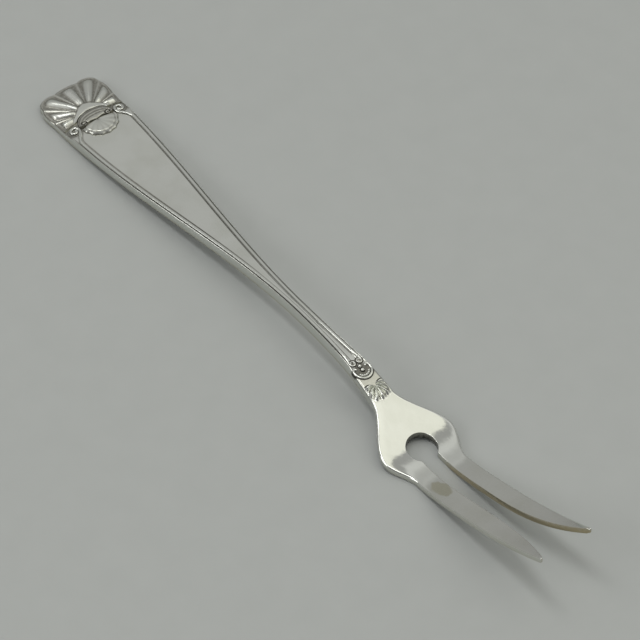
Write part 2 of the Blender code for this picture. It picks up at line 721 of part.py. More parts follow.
POLISHED = (0.72, 0.71, 0.67)
SHADED = (0.55, 0.54, 0.5)
add_part("handle_blade", build_handle_blade(), POLISHED, 0.2)
add_part("fork_head", build_fork_head(), POLISHED, 0.16)
add_part("shell_terminal", relief(56, 10, shell_place, shell_height), SHADED, 0.28)
add_part("cartouche_band", relief(22, 7, band_place, band_height), SHADED, 0.3)
add_part("cartouche_lip", relief(42, 7, lip_place, lip_height), SHADED, 0.3)
for side_name, side in (("near", -1.0), ("far", 1.0)):
    add_part("scroll_wire_" + side_name, wire("scroll_wire_" + side_name, scroll_path(side)), POLISHED, 0.22)
for i, bead_name in enumerate(("upper", "lower")):
    add_part("neck_bead_" + bead_name, build_bead(BEAD_STATION + i * BEAD_PITCH), SHADED, 0.25)
add_part("neck_collar", wire("neck_collar", collar_path()), SHADED, 0.28)
add_part("neck_pearl_wire", wire("neck_pearl_wire", pearl_path()), SHADED, 0.28)
add_part("neck_shell", relief(42, 6, fan_place, fan_height), SHADED, 0.26)
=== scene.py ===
"""Looks of a small two-tine serving fork: polished silver, struck ornament and a plain studio.

A station is a distance along +X from the plain edge of the handle's end, beyond which the shell's
lobes stand proud. The far side of the fork is +Y. The plates and the struck ornament start as flat
sheets in plan, are thickened, and then take the heights of their tops and backs. A thread is a grid
rolled round its path.
"""

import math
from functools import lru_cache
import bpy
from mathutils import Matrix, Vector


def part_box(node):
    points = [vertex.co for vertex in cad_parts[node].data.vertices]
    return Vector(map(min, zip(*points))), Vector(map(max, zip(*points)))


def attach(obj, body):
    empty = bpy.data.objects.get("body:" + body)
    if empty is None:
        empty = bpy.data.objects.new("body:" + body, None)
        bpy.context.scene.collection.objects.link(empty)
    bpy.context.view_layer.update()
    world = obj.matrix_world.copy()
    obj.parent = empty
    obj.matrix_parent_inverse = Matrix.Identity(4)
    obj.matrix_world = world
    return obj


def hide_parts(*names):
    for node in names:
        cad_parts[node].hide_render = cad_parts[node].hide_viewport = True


bl_info = {
    "name": "Cold Meat Fork",
    "version": (1, 0, 0),
    "blender": (4, 5, 0),
    "location": "View3D > Sidebar > Fork",
    "description": "Models the polished silver and the struck ornament of a small serving fork",
    "category": "Object",
}

from types import SimpleNamespace

import bmesh
import bpy
from mathutils import Matrix, Vector

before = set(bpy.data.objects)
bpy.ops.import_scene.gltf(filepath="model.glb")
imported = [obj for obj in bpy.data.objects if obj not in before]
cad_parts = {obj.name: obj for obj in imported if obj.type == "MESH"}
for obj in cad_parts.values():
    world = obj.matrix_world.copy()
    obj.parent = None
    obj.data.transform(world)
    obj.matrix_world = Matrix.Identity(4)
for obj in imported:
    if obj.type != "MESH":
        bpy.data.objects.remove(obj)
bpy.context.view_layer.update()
MM = 0.001
LOBE_PROUD = 0.5 * MM
STATION_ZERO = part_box("handle_blade")[0].x + LOBE_PROUD
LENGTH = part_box("fork_head")[1].x - STATION_ZERO

# Side view
CREST_STATION = 91.0 * MM
HEEL_STATION = 118.0 * MM
TINE_BEND_STATION = 130.0 * MM
TINE_BEND_HEIGHT = 4.15 * MM
TINE_BEND_SLOPE = math.tan(math.radians(17.5))
TIP_SLOPE = math.tan(math.radians(31.0))
ARCH_SOFTENING = 2.0 * MM
END_DROOP = 0.55 * MM
DROOP_FADE = 5.0 * MM

# Thickness
END_THICKNESS = 2.15 * MM
BLADE_THICKNESS = 1.65 * MM
STEM_THICKNESS = 2.3 * MM
HEAD_THICKNESS = 1.45 * MM
END_THICK_STATION = 8.0 * MM
BLADE_THIN_STATION = 24.0 * MM
EDGE_ROLL = 0.42 * MM
HOLE_ROLL = 0.1 * MM
BACK_ROLL = 0.45 * MM
CROWN_RUN = 1.7 * MM
CROWN_FALL = 0.05 * MM
CROWN_START = 3.0 * MM

# Plan of the handle
END_ROUNDNESS = 5.0
LOBE_NOTCH = 0.45 * MM
SCALLOP_FADE = 40.0
STEM_STATION = 77.0 * MM
SEAM_STATION = 98.2 * MM
RIM_WIDTH = 0.42 * MM
RIM_HEIGHT = 0.2 * MM
RIM_FALL = 0.5
GROOVE_WIDTH = 0.06 * MM
GROOVE_DEPTH = 0.05 * MM
WIRE_GROOVE = 0.08 * MM
WIRE_JOIN_LENGTH = 3.7 * MM

# Plan of the head
NECK_SLOPE = 0.065
NECK_END_STATION = 101.3 * MM
NECK_END_WIDTH = 4.8 * MM
SHOULDER_STATION = 105.0 * MM
HEAD_WIDE_STATION = 112.6 * MM
KEYHOLE_STATION = 113.65 * MM
TINE_ROOT_STATION = 119.5 * MM
TINE_FLARE = 0.25 * MM
TINE_FLARE_RUN = 10.0 * MM
TINE_POINT_LENGTH = 22.0 * MM
TINE_POINT_SLOPE = 0.42
TIP_RADIUS = 0.3 * MM
SLOPE_STEP = 0.1 * MM

# Shell, with angles in degrees and places as shares of a lobe's length or width
SINK = 0.06 * MM
LOBE_BOUNDS = (-99.0, -74.0, -47.0, -17.0, 17.0, 47.0, 74.0, 99.0)
LOBE_RIM = 0.75 * MM
LOBE_END = 0.25
LOBE_ROOT = 0.6
LOBE_SWELL = (-0.05, 0.3)
RIB_WIDTH = 0.8
RIB_WIDEST = 0.86
RIB_RADIUS = 4.2 * MM
RIB_TAPER = 0.42
RIB_SHARPNESS = 1.2
RIDGE_HEIGHT = 0.22
RIDGE_WIDTH = 0.13
RIDGE_RUN = (0.1, 0.4)
SHELL_MARGIN = 0.3 * MM
SHELL_GAP = 0.15 * MM
SHELL_VALLEY = 0.06 * MM
HUB_WIDTH = 1.9 * MM
HUB_TAPER = 0.5
HUB_RISE = (0.35, 0.55)
HUB_EDGE = 0.05
HUB_STEP = (-0.02, 0.06)

# Cartouche
CARTOUCHE_OFFSET = 3.2 * MM
CARTOUCHE_RADIUS = 3.7 * MM
CARTOUCHE_HALF = 4.1 * MM
CARTOUCHE_SQUARENESS = 2.6
CARTOUCHE_VALLEY = 0.25 * MM
BAND_WIDTH = 2.9 * MM
BAND_SWEEP = 80.0
BAND_NARROWING = 0.55
BAND_EDGE = 0.14 * MM
GROOVE_CUT = 0.2
CURL_PLACE = (0.84, 0.4)
CURL_SPAN = (4.2 * MM, 1.7 * MM)
CURL_RADIUS = 0.42 * MM
CURL_LINE = 0.12 * MM
CURL_CUT = 0.5
CURL_CLEAR = (0.4 * MM, 0.7 * MM)
LIP_LENGTH = 4.35 * MM
LIP_SWEEP = 80.0
LIP_PLEATS = 7
LIP_WAVE = 0.08 * MM
LIP_EDGE = 0.1 * MM
LIP_CROWN = (0.2, 0.82)
LIP_END = 0.94
PLEAT_DEPTH = 0.02 * MM
PLEAT_RUN = (0.2, 0.7)
HEM = 0.07 * MM

# Threads, with their volutes by the shell and their scrolls at the neck
VOLUTE_OFFSET = 2.35 * MM
VOLUTE_RADIUS = 1.35 * MM
VOLUTE_EDGE = 0.4 * MM
VOLUTE_TURNS = 1.15
VOLUTE_SHARE = 0.88
VOLUTE_EYE = 0.26 * MM
SCROLL_STATION = 93.6 * MM
SCROLL_GAP = 0.12 * MM
SCROLL_TURNS = 0.8
SCROLL_SHARE = 0.44
SCROLL_EYE = 0.4 * MM
WIRE_ENDS = (1.0, 0.97, 0.85, 0.6, 0.0)

# Neck ornament
BEAD_STATIONS = (94.78 * MM, 95.66 * MM)
COLLAR_STATION = 95.65 * MM
COLLAR_WIRE = 0.48 * MM
COLLAR_SWEEP = 112.0
COLLAR_CURL = 0.3 * MM
COLLAR_EYE = 0.24 * MM
COLLAR_CURL_TURNS = 0.6
PEARLS = 7
PEARL_DIAMETER = 0.52 * MM
PEARL_GAP = 0.06 * MM
PEARL_WAIST = 0.45
PEARL_FULLNESS = 0.7
PEARL_SWEEP = 66.0
FAN_STATION = 99.2 * MM
FAN_SIDE_LENGTH = 2.15 * MM
FAN_SHORTENING = (30.0, 80.0)
FAN_BRACKET = 0.25 * MM
FAN_VALLEY = 0.02 * MM
FAN_NOTCH = 0.15 * MM
FAN_ROOT = 0.3 * MM
FLUTE_BOUNDS = (-104.0, -66.0, -38.0, -13.0, 13.0, 38.0, 66.0, 104.0)
FLUTE_SWELL = (-0.15, 0.4)
FLUTE_END = 0.7

# Fine lines across a piece, as (strength, place, width)
BAND_GROOVES = ((1.0, 0.85, 0.05), (1.0, 0.62, 0.05), (1.0, 0.4, 0.05))
RIDGE_END = ((0.5, 1.1, 0.03),)
LIP_HEM = ((1.0, 0.92, 0.03), (-1.0, 0.84, 0.03), (0.5, 0.76, 0.03))
# Lines of painted shade in grooves and valleys and along the edges of the ornament
HUB_SHADE_LINE = ((0.6, 0.01, 0.035),)
ROOT_SHADE_LINE = ((0.5, 0.0, 0.02),)
BAND_EDGE_SHADE = ((0.2, 0.0, 0.1), (0.5, 1.0, 0.05))
LIP_SHADE_LINES = ((0.35, 0.84, 0.03), (0.4, 0.0, 0.1), (0.4, 1.0, 0.03))
FLUTE_SHADE_LINES = ((1.1, 1.0, 0.16),)

# Tarnish and painted shade on the handle, from 0 where it is bright to 1 where it is black, with the places
# of its lines
OUTER_LINE = (0.03 * MM, 0.09 * MM)
# Lines on the near side are darker and broader than on the far side: painted shade
OUTER_NEAR = 1.3
OUTER_FAR = 0.7
OUTER_START = 0.45
OUTER_RUN = (20.0 * MM, 42.0 * MM)
INNER_SHADE = 0.6
INNER_DARK = ((0.4, 50.0 * MM, 14.0 * MM),)
INNER_FADE = (0.5, 58.0 * MM, 72.0 * MM)
INNER_RETURN = (0.7, 80.0 * MM, 90.0 * MM)
INNER_WIDTH = 0.07 * MM
INNER_BROAD = 0.08 * MM
INNER_FINE = 0.02 * MM
INNER_SHIFT = 0.13 * MM
INNER_LEAD = 0.5 * MM
FINE_STATION = 25.0 * MM
JOIN_SHADE = 0.6
JOIN_WIDTH = 0.2 * MM
FIELD_SHADE = 0.5
FIELD_EDGE = (0.05 * MM, 0.2 * MM)
FIELD_FADE = 1.0 * MM
VOLUTE_GROUND = 0.45
VOLUTE_FADE = 0.2 * MM
VOLUTE_OUTLINE = ((0.7, 0.05 * MM, 0.1 * MM),)

# Tarnish and painted shade on the neck, the ornament and the walls
NECK_OUTLINE = 1.2
NECK_LINE = 0.12 * MM
COLLAR_LINE_GAP = 0.06 * MM
COLLAR_LINE_RUN = (-1.2 * MM, -0.4 * MM)
COLLAR_GROUND = 0.65
COLLAR_FADE = 0.9
BEAD_LINE_GAP = 0.04 * MM
BEAD_FOOT_SHADE = 0.35
SCROLL_LINE_GAP = 0.05 * MM
SCROLL_GROUND = 0.7
SCROLL_FADE = (0.3, 0.6)
NECK_FILM = 0.3
FILM_START = 1.5 * MM
FILM_END = (1.5 * MM, 4.0 * MM)
VALLEY_SHADE = 0.5
VALLEY_CREST = (0.1, 0.7)
BAND_FILM = 0.3
GROOVE_SHADE = 0.35
CURL_SHADE = 0.9
PLEAT_SHADE = 0.2
FLUTE_FADE = 0.8
BRACKET_LINE = (0.02, 0.05)
ORNAMENT_WALL_SHADE = 0.6
WIRE_FOOT_SHADE = (0.4, 0.9)
# Warm tints on the back, the walls and the tines; on the side walls and between the tines partly painted
# shade of the dim floor they mirror
BACK_WARMTH = 0.1
SIDE_WARMTH = 0.35
WALL_EDGE = 0.1 * MM
WALL_SHARE = 0.5
HOLE_MARGIN = 0.5 * MM
TINE_WARMTH = 0.1
TINE_WARM_RUN = 6.0 * MM
OUTER_WARMTH = 0.15

# Mesh counts, the insets from an edge at which a sheet has points, and places where its rows change
RIM_INSETS = tuple(inset * MM for inset in (
    0.0, 0.02, 0.06, 0.12, 0.21, 0.3, 0.36, 0.41, 0.46, 0.51, 0.6, 0.75, 0.9, 1.05, 1.16, 1.22, 1.27, 1.32,
    1.38, 1.46, 1.56))
ROLL_INSETS = tuple(inset * MM for inset in (
    0.0, 0.015, 0.05, 0.1, 0.17, 0.25, 0.34, 0.5, 0.7, 0.95, 1.25, 1.6))
ROLL_ROOM = 2.5
PANEL_POINTS = 24
PLATE_POINTS = 12
END_ROWS = 72
ORNAMENT_END = 16.0 * MM
ORNAMENT_ROWS = 60
BLADE_ROWS = 112
STEM_END = 92.0 * MM
STEM_END_ROWS = 90
NECK_ROWS = 48
HOLE_ROWS = 64
TINE_ROWS = 60
TIP_ROWS = 8
SPLIT_ANGLE = math.radians(118.0)
ROOT_LEAD = 1.5 * MM
SHELL_GRID = (264, 52)
BAND_GRID = (90, 28)
LIP_GRID = (126, 28)
FAN_GRID = (208, 30)
BEAD_GRID = (32, 20)
VOLUTE_STEPS = 48
JOIN_STEPS = 16
THREAD_STEPS = 110
SCROLL_STEPS = 32
CURL_STEPS = 18
COLLAR_STEPS = 60
PEARL_STEPS = 14
ARC_STEPS = 14
HALVINGS = 30
WELD = 0.0005 * MM
SHARP_ANGLE = math.radians(50.0)

# Scratches and stipple: real ones are too fine to show, so these are drawn as coarse as they need to be
SCRATCH_LENGTH = 5.0 * MM
SCRATCH_WIDTH = 0.12 * MM
SCRATCH_DEPTH = 0.02 * MM
STIPPLE_SIZE = 0.45 * MM

# Camera, set so that the fork lies as it does in the photograph
CAMERA_TARGET = Vector((-0.88 * MM, 4.77 * MM, -0.3 * MM))
CAMERA_AZIMUTH = math.radians(-37.28)
CAMERA_ELEVATION = math.radians(49.3)
CAMERA_ROLL = math.radians(0.14)
CAMERA_DISTANCE = 0.941
CAMERA_LENS = 281.25
CAMERA_SENSOR = 36.0

# Room: brightness by height from straight down to straight up, and a dark screen behind the camera
ROOM_LEVELS = ((0.0, 0.33), (0.5, 0.33), (0.58, 0.37), (0.66, 0.4), (0.786, 0.4), (0.82, 0.53), (0.85, 0.5),
               (0.879, 0.51), (0.901, 0.59), (0.912, 0.69), (0.932, 0.69), (0.939, 0.4), (0.957, 0.4),
               (0.965, 0.5), (1.0, 0.55))
ROOM_BLUE = 0.975
SCREEN_CORE = math.radians(22.0)
SCREEN_EDGE = math.radians(52.0)
SCREEN_LEVEL = 0.4
FLOOR_HALF = 3.0
FLOOR_DROP = 0.05 * MM

# Lamps, as (name, direction, width, height, radiance, tint)
LAMP_DISTANCE = 1.2
LAMPS = (
    ("softbox", (0.405, 0.46, 0.82), 1.0, 1.7, 0.61, (1.0, 0.985, 0.84)),
    ("strip_lamp", (-0.255, -0.78, 0.52), 0.7, 0.46, 2.4, (1.0, 1.0, 0.98)),
    ("top_lamp", (0.0, -0.2, 1.0), 0.95, 0.24, 4.6, (1.0, 1.0, 0.98)),
)


def linear(hex_colour):
    """Linear RGB of an sRGB hex colour."""
    channels = [int(hex_colour[i:i + 2], 16) / 255.0 for i in (1, 3, 5)]
    return tuple(c / 12.92 if c <= 0.04045 else ((c + 0.055) / 1.055) ** 2.4 for c in channels)


def camera_back():
    """Direction from the fork to the camera."""
    level = math.cos(CAMERA_ELEVATION)
    return Vector((level * math.cos(CAMERA_AZIMUTH), level * math.sin(CAMERA_AZIMUTH),
                   math.sin(CAMERA_ELEVATION)))


def blend(start, end, share):
    """Value a share of the way from a start to an end."""
    return start + (end - start) * share


def spread(start, end, count):
    """Evenly spaced values after a start, with the last at an end."""
    return [blend(start, end, i / count) for i in range(1, count + 1)]


def ease(start, end, x):
    """Smooth step from 0 at start to 1 at end."""
    t = min(max((x - start) / (end - start), 0.0), 1.0)
    return t * t * (3.0 - 2.0 * t)


def bell(x, centre, width):
    """Soft bump of height 1 at a centre."""
    return math.exp(-((x - centre) / width) ** 2)


def marks(x, lines):
    """Sum of soft lines, each given as (strength, place, width)."""
    return sum(strength * bell(x, place, width) for strength, place, width in lines)


def hermite(x, start, end):
    """Cubic through two (x, z, slope) points."""
    (x0, z0, m0), (x1, z1, m1) = start, end
    run = x1 - x0
    t = (x - x0) / run
    bend = m0 * (1.0 - t) - m1 * t
    return blend(z0, z1, t * t * (3.0 - 2.0 * t)) + run * t * (1.0 - t) * bend


def slope(line, size, start, end):
    """Mean slope between two stations of a line that gives a distance from the axis."""
    return (line(size, end) - line(size, start)) / (end - start)


def around(centre, radius, angle):
    """Plan point at an angle in radians about a centre."""
    return centre[0] + radius * math.cos(angle), centre[1] + radius * math.sin(angle)


def quarter_fall(distance, radius):
    """Fall of a rounded edge at a distance from it."""
    reach = 1.0 - min(max(distance / radius, 0.0), 1.0)
    return radius * (1.0 - math.sqrt(1.0 - reach * reach))


def length_size(name, description, default):
    return bpy.props.FloatProperty(name=name, description=description, default=default, min=0.0,
                                   unit="LENGTH", precision=5)


def colour(name, description, hex_colour):
    return bpy.props.FloatVectorProperty(name=name, description=description, default=linear(hex_colour),
                                         size=3, min=0.0, max=1.0, subtype="COLOR")


class ForkSizes(bpy.types.PropertyGroup):
    """Sizes of the fork's pieces"""
    end_height: length_size("End height", "Height of the top face at the handle's end", 1.95 * MM)
    crest_height: length_size("Crest height", "Height of the handle's highest point", 7.3 * MM)
    heel_height: length_size("Heel height", "Height of the top face at the tine roots", 1.38 * MM)
    tip_height: length_size("Tip height", "Height of the top face at the tine tips", 15.25 * MM)
    blade_width: length_size("Blade width", "Width of the handle at its end", 14.2 * MM)
    shell_length: length_size("Shell length", "Length of the handle's round end", 8.6 * MM)
    stem_panel: length_size("Stem panel", "Width left between the threads on the stem", 0.5 * MM)
    neck_width: length_size("Neck width", "Width where the handle meets the head", 4.4 * MM)
    head_width: length_size("Head width", "Width over the shoulders of the head", 16.0 * MM)
    tine_span: length_size("Tine span", "Width over both tines at their roots", 11.3 * MM)
    slot_width: length_size("Slot width", "Gap between the tines", 3.6 * MM)
    keyhole_radius: length_size("Keyhole radius", "Radius of the pierced hole at the tine roots", 3.0 * MM)
    shell_height: length_size("Shell height", "Rise of the shell's lobes", 0.62 * MM)
    band_height: length_size("Band height", "Rise of the crescent band", 0.52 * MM)
    lip_height: length_size("Lip height", "Rise of the pleated lip", 0.5 * MM)
    wire_width: length_size("Thread width", "Width of the raised thread along the edges", 0.72 * MM)
    wire_height: length_size("Thread height", "Rise of the raised thread", 0.36 * MM)
    bead_radius: length_size("Bead radius", "Radius of the neck beads", 0.38 * MM)
    collar_radius: length_size("Collar radius", "Outer radius of the neck collar", 2.0 * MM)
    fan_length: length_size("Fan length", "Length of the neck shell", 3.5 * MM)
    fan_height: length_size("Fan height", "Rise of the neck shell's flutes", 0.56 * MM)


class ForkColours(bpy.types.PropertyGroup):
    """Colours of the silver and of the stage"""
    silver: colour("Silver", "Clean polished silver", "#DDDFDA")
    worn: colour("Worn silver", "Silver dulled by handling", "#D6D8D1")
    # Film, dark and tan also paint shade: in grooves, valleys and gaps, on the walls and in the pierced hole
    film: colour("Grey film", "Thin grey tarnish in the shallow recesses", "#A3A29A")
    dark: colour("Dark tarnish", "Old dark tarnish left in the grooves", "#383733")
    tan: colour("Tan tarnish", "Warm tarnish on the side walls", "#B8AC8E")
    spot: colour("Stain", "Dull olive stain on a tine", "#C2C1B0")
    floor: colour("Floor", "Matt painted board", "#B5B8B7")


def sizes_of(context):
    """The sizes as plain numbers, for the shape functions."""
    group = context.scene.fork_sizes
    return SimpleNamespace(**{name: getattr(group, name) for name in ForkSizes.__annotations__})


# Form of the handle


def side_line(size, s):
    """Height of the top face in the side view."""
    if s < CREST_STATION:
        return blend(size.end_height, size.crest_height, ease(0.0, CREST_STATION, s))
    if s < HEEL_STATION:
        return blend(size.crest_height, size.heel_height, ease(CREST_STATION, HEEL_STATION, s))
    bend = (TINE_BEND_STATION, TINE_BEND_HEIGHT, TINE_BEND_SLOPE)
    if s < TINE_BEND_STATION:
        return hermite(s, (HEEL_STATION, size.heel_height, 0.0), bend)
    return hermite(s, bend, (LENGTH, size.tip_height, TIP_SLOPE))


def arch(size, s):
    """The side line with its changes of bend softened."""
    steps = (-1.0, -0.5, 0.0, 0.5, 1.0)
    return sum(side_line(size, s + step * ARCH_SOFTENING) for step in steps) / len(steps)


def lobe_at(degrees, bounds):
    """Place across a lobe, from -1 to 1, for an angle among the bounds between the lobes."""
    for low, high in zip(bounds, bounds[1:]):
        if degrees <= high:
            return 2.0 * (max(degrees, low) - low) / (high - low) - 1.0
    return 1.0


def end_reach(size, angle):
    """Distance from the centre of the round end to its scalloped edge, at an angle in radians."""
    along = abs(math.cos(angle) / size.shell_length) ** END_ROUNDNESS
    across = abs(math.sin(angle) / (size.blade_width / 2)) ** END_ROUNDNESS
    degrees = abs(math.degrees(angle))
    scallop = LOBE_PROUD - LOBE_NOTCH * abs(lobe_at(degrees, LOBE_BOUNDS)) ** 3
    return (along + across) ** (-1.0 / END_ROUNDNESS) + scallop * (1.0 - ease(SCALLOP_FADE, 90.0, degrees))


def end_point(size, radius, angle):
    """Plan point at an angle about the centre of the round end, measured from the handle's axis."""
    return size.shell_length - radius * math.cos(angle), radius * math.sin(angle)


def half_width(size, s):
    """Half the handle's width beyond its round end."""
    blade = size.blade_width / 2
    stem = size.stem_panel / 2 + size.wire_width + WIRE_GROOVE + RIM_WIDTH
    if s < STEM_STATION:
        return blend(blade, stem, ease(size.shell_length, STEM_STATION, s))
    flare = (s - STEM_STATION) / (SEAM_STATION - STEM_STATION)
    return blend(stem, size.neck_width / 2, flare ** 2)


def handle_inset(size, s, y):
    """Distance of a point of the handle from its edge."""
    if s >= size.shell_length:
        return half_width(size, s) - abs(y)
    x = size.shell_length - s
    return end_reach(size, math.atan2(y, x)) - math.hypot(x, y)


def ground(size, s, y):
    """Height of the plain top face: the arch, drooping towards the rim of the round end."""
    along = max(size.shell_length - s, 0.0) / size.shell_length
    across = abs(y) / (size.blade_width / 2)
    rim = (along ** END_ROUNDNESS + across ** END_ROUNDNESS) ** (1.0 / END_ROUNDNESS)
    fade = 1.0 - ease(size.shell_length, size.shell_length + DROOP_FADE, s)
    return arch(size, s) - END_DROOP * fade * rim ** 2


def volute_centre(size):
    """Station of the volutes' centres and their distance from the axis."""
    return size.shell_length + VOLUTE_OFFSET, size.blade_width / 2 - VOLUTE_EDGE - VOLUTE_RADIUS


def rim_share(size, s):
    """How far the edge moulding is raised: none at the shell, full along the handle, none at the collar."""
    start, _ = volute_centre(size)
    return ease(start, start + WIRE_JOIN_LENGTH, s) - ease(SCROLL_STATION, COLLAR_STATION, s)


def thread_line(size, s):
    """Distance of a thread's centre line from the axis: from the volute to the edge, then along it."""
    inset = RIM_WIDTH + WIRE_GROOVE + size.wire_width / 2
    start, volute_y = volute_centre(size)
    join = start + WIRE_JOIN_LENGTH
    if s >= join:
        return half_width(size, s) - inset
    inner = (start, volute_y - VOLUTE_RADIUS + VOLUTE_SHARE * size.wire_width / 2, 0.0)
    outer = (join, half_width(size, join) - inset, slope(half_width, size, join, join + MM))
    return hermite(max(s, start), inner, outer)


def neck_scroll(size):
    """Room for a neck scroll: the station where it starts, its distance from the axis and its radius."""
    room = half_width(size, SCROLL_STATION) - RIM_WIDTH - WIRE_GROOVE
    gap = SCROLL_GAP / 2
    return SCROLL_STATION - 2.0 * (room - gap), (gap + room) / 2, (room - gap) / 2


def handle_thickness(s):
    thin = blend(END_THICKNESS, BLADE_THICKNESS, ease(END_THICK_STATION, BLADE_THIN_STATION, s))
    return blend(thin, STEM_THICKNESS, ease(BLADE_THIN_STATION, STEM_STATION, s))


def handle_top(size, s, y):
    """Top of the handle: a half-round rim, the two grooves of the thread and the plain panel."""
    inset = handle_inset(size, s, y)
    share = rim_share(size, s)
    crown = 1.0 - (2.0 * inset / RIM_WIDTH - 1.0) ** 2
    rim = RIM_HEIGHT * math.sqrt(max(crown, 0.0)) * share
    inner = RIM_WIDTH + 2.0 * WIRE_GROOVE + size.wire_width
    grooves = bell(inset, RIM_WIDTH, GROOVE_WIDTH) + bell(inset, inner, GROOVE_WIDTH)
    fall = quarter_fall(inset, EDGE_ROLL) * (1.0 - share)
    fall += quarter_fall(inset, RIM_WIDTH) * share * RIM_FALL * handle_thickness(s) / RIM_WIDTH
    return ground(size, s, y) + rim - fall - GROOVE_DEPTH * grooves * share


def handle_back(size, s, y):
    """Back of the handle, rounded at its edges and flat where it lies on the table."""
    fall = quarter_fall(handle_inset(size, s, y), BACK_ROLL)
    return max(arch(size, s) - handle_thickness(s), 0.0) + fall


def thread_tarnish_and_shade(size, s, y):
    """Dark lines of tarnish and painted shade on both sides of a thread: uneven along the handle, and
    broader by its near edge.
    """
    fine = ease(FINE_STATION, STEM_STATION, s)
    near = 1.0 - fine if y < 0.0 else 0.0
    raised = rim_share(size, s)
    start, _ = volute_centre(size)
    along = ease(start - INNER_LEAD, start + INNER_LEAD, s) - ease(SCROLL_STATION, COLLAR_STATION, s)
    shift, width = OUTER_LINE
    outer = (OUTER_NEAR if y < 0.0 else OUTER_FAR) * blend(OUTER_START, 1.0, ease(*OUTER_RUN, s))
    outer *= raised * bell(handle_inset(size, s, y), RIM_WIDTH + shift, width)
    reach = abs(y) - thread_line(size, s)
    foot = size.wire_width / 2 + WIRE_GROOVE
    inner = INNER_SHADE + marks(s, INNER_DARK)
    inner -= INNER_FADE[0] * ease(*INNER_FADE[1:], s)
    inner += INNER_RETURN[0] * ease(*INNER_RETURN[1:], s)
    width = INNER_WIDTH + INNER_BROAD * near - INNER_FINE * fine
    inner *= along * bell(reach, -foot - INNER_SHIFT * near, width)
    return outer + inner + JOIN_SHADE * (along - raised) * bell(reach, foot, JOIN_WIDTH)


def end_painted_shade(size, s, y):
    """Painted shade on the ground round the shell and under the volutes, with a dark line round each volute.
    """
    end = size.shell_length + CARTOUCHE_OFFSET
    field = FIELD_SHADE * (1.0 - ease(end, end + FIELD_FADE, s))
    field *= ease(*FIELD_EDGE, handle_inset(size, s, y))
    station, volute_y = volute_centre(size)
    reach = math.hypot(s - station, abs(y) - volute_y) - VOLUTE_RADIUS
    volute = VOLUTE_GROUND * (1.0 - ease(0.0, VOLUTE_FADE, reach))
    return max(field, volute, marks(reach, VOLUTE_OUTLINE))


def neck_painted_shade(size, s, y):
    """Painted shade on the ground inside the collar and the scrolls, with a dark line round each ornament.
    """

    def outline(reach, radius):
        return NECK_OUTLINE * bell(reach, radius, NECK_LINE)

    reach = math.hypot(s - COLLAR_STATION, y)
    inside = size.collar_radius - COLLAR_WIRE
    rings = outline(reach, size.collar_radius + COLLAR_LINE_GAP) + outline(reach, inside)
    rings *= ease(*COLLAR_LINE_RUN, s - COLLAR_STATION)
    middle = COLLAR_GROUND * (1.0 - ease(COLLAR_FADE, 1.0, reach / inside))
    bead = size.bead_radius + BEAD_LINE_GAP
    beads = max(outline(math.hypot(s - station, y), bead) for station in BEAD_STATIONS)
    _, scroll_y, room = neck_scroll(size)
    reach = math.hypot(s - SCROLL_STATION, abs(y) - scroll_y)
    scroll = SCROLL_GROUND * (1.0 - ease(*SCROLL_FADE, reach / room))
    return max(rings, middle, beads, scroll, outline(reach, room + SCROLL_LINE_GAP))


def handle_tarnish_and_shade(size, s, y):
    """Tarnish and painted shade: dark lines by the threads, a shaded ground between the ornaments and a film
    on the neck.
    """
    film = NECK_FILM * ease(COLLAR_STATION, COLLAR_STATION + FILM_START, s)
    layers = (thread_tarnish_and_shade, end_painted_shade, neck_painted_shade)
    return min(max(film, *(layer(size, s, y) for layer in layers)), 1.0)


def handle_wall_tarnish_and_shade(size, s, y):
    """Warm tarnish with painted shade on the side walls, given as a negative value, and less of it on the
    back.
    """
    return -BACK_WARMTH - SIDE_WARMTH * (1.0 - ease(0.0, BACK_ROLL, handle_inset(size, s, y)))


# Form of the head


def head_half(size, s):
    """Half the head's width: a flare to the shoulders, a drop to the tine roots, nearly parallel tines."""
    root = size.tine_span / 2
    wide = size.head_width / 2
    neck_end = (NECK_END_STATION, NECK_END_WIDTH / 2, NECK_SLOPE)
    if s < NECK_END_STATION:
        return hermite(s, (SEAM_STATION, size.neck_width / 2, NECK_SLOPE), neck_end)
    if s < HEAD_WIDE_STATION:
        return hermite(s, neck_end, (HEAD_WIDE_STATION, wide, 0.0))
    if s < TINE_ROOT_STATION:
        return blend(wide, root, ease(HEAD_WIDE_STATION, TINE_ROOT_STATION, s))
    return root + TINE_FLARE * ease(TINE_ROOT_STATION, LENGTH - TINE_FLARE_RUN, s)


def tip_centre(size):
    """Centre of the far tine's round tip."""
    return LENGTH - TIP_RADIUS, size.tine_span / 2 + TINE_FLARE - TIP_RADIUS


def keyhole_mouth(size):
    """Angle and station at which the pierced hole opens into the slot."""
    angle = math.asin(size.slot_width / 2 / size.keyhole_radius)
    return angle, KEYHOLE_STATION + size.keyhole_radius * math.cos(angle)


def tine_end(size):
    """Where a tine's inner edge meets its round tip, as (station, distance from the axis, slope)."""
    s, y = around(tip_centre(size), TIP_RADIUS, math.atan(TINE_POINT_SLOPE) - math.pi / 2)
    return s, y, TINE_POINT_SLOPE


def tine_inner(size, s):
    """Distance of a tine's inner edge from the axis: parallel, then curving out to the point."""
    start = LENGTH - TINE_POINT_LENGTH
    if s < start:
        return size.slot_width / 2
    end = tine_end(size)
    return hermite(min(s, end[0]), (start, size.slot_width / 2, 0.0), end)


def edge_distance(line, size, s, y):
    """Distance of a plan point from an edge that is given by its distance from the axis."""
    return (line(size, s) - y) / math.hypot(1.0, slope(line, size, s - SLOPE_STEP, s + SLOPE_STEP))


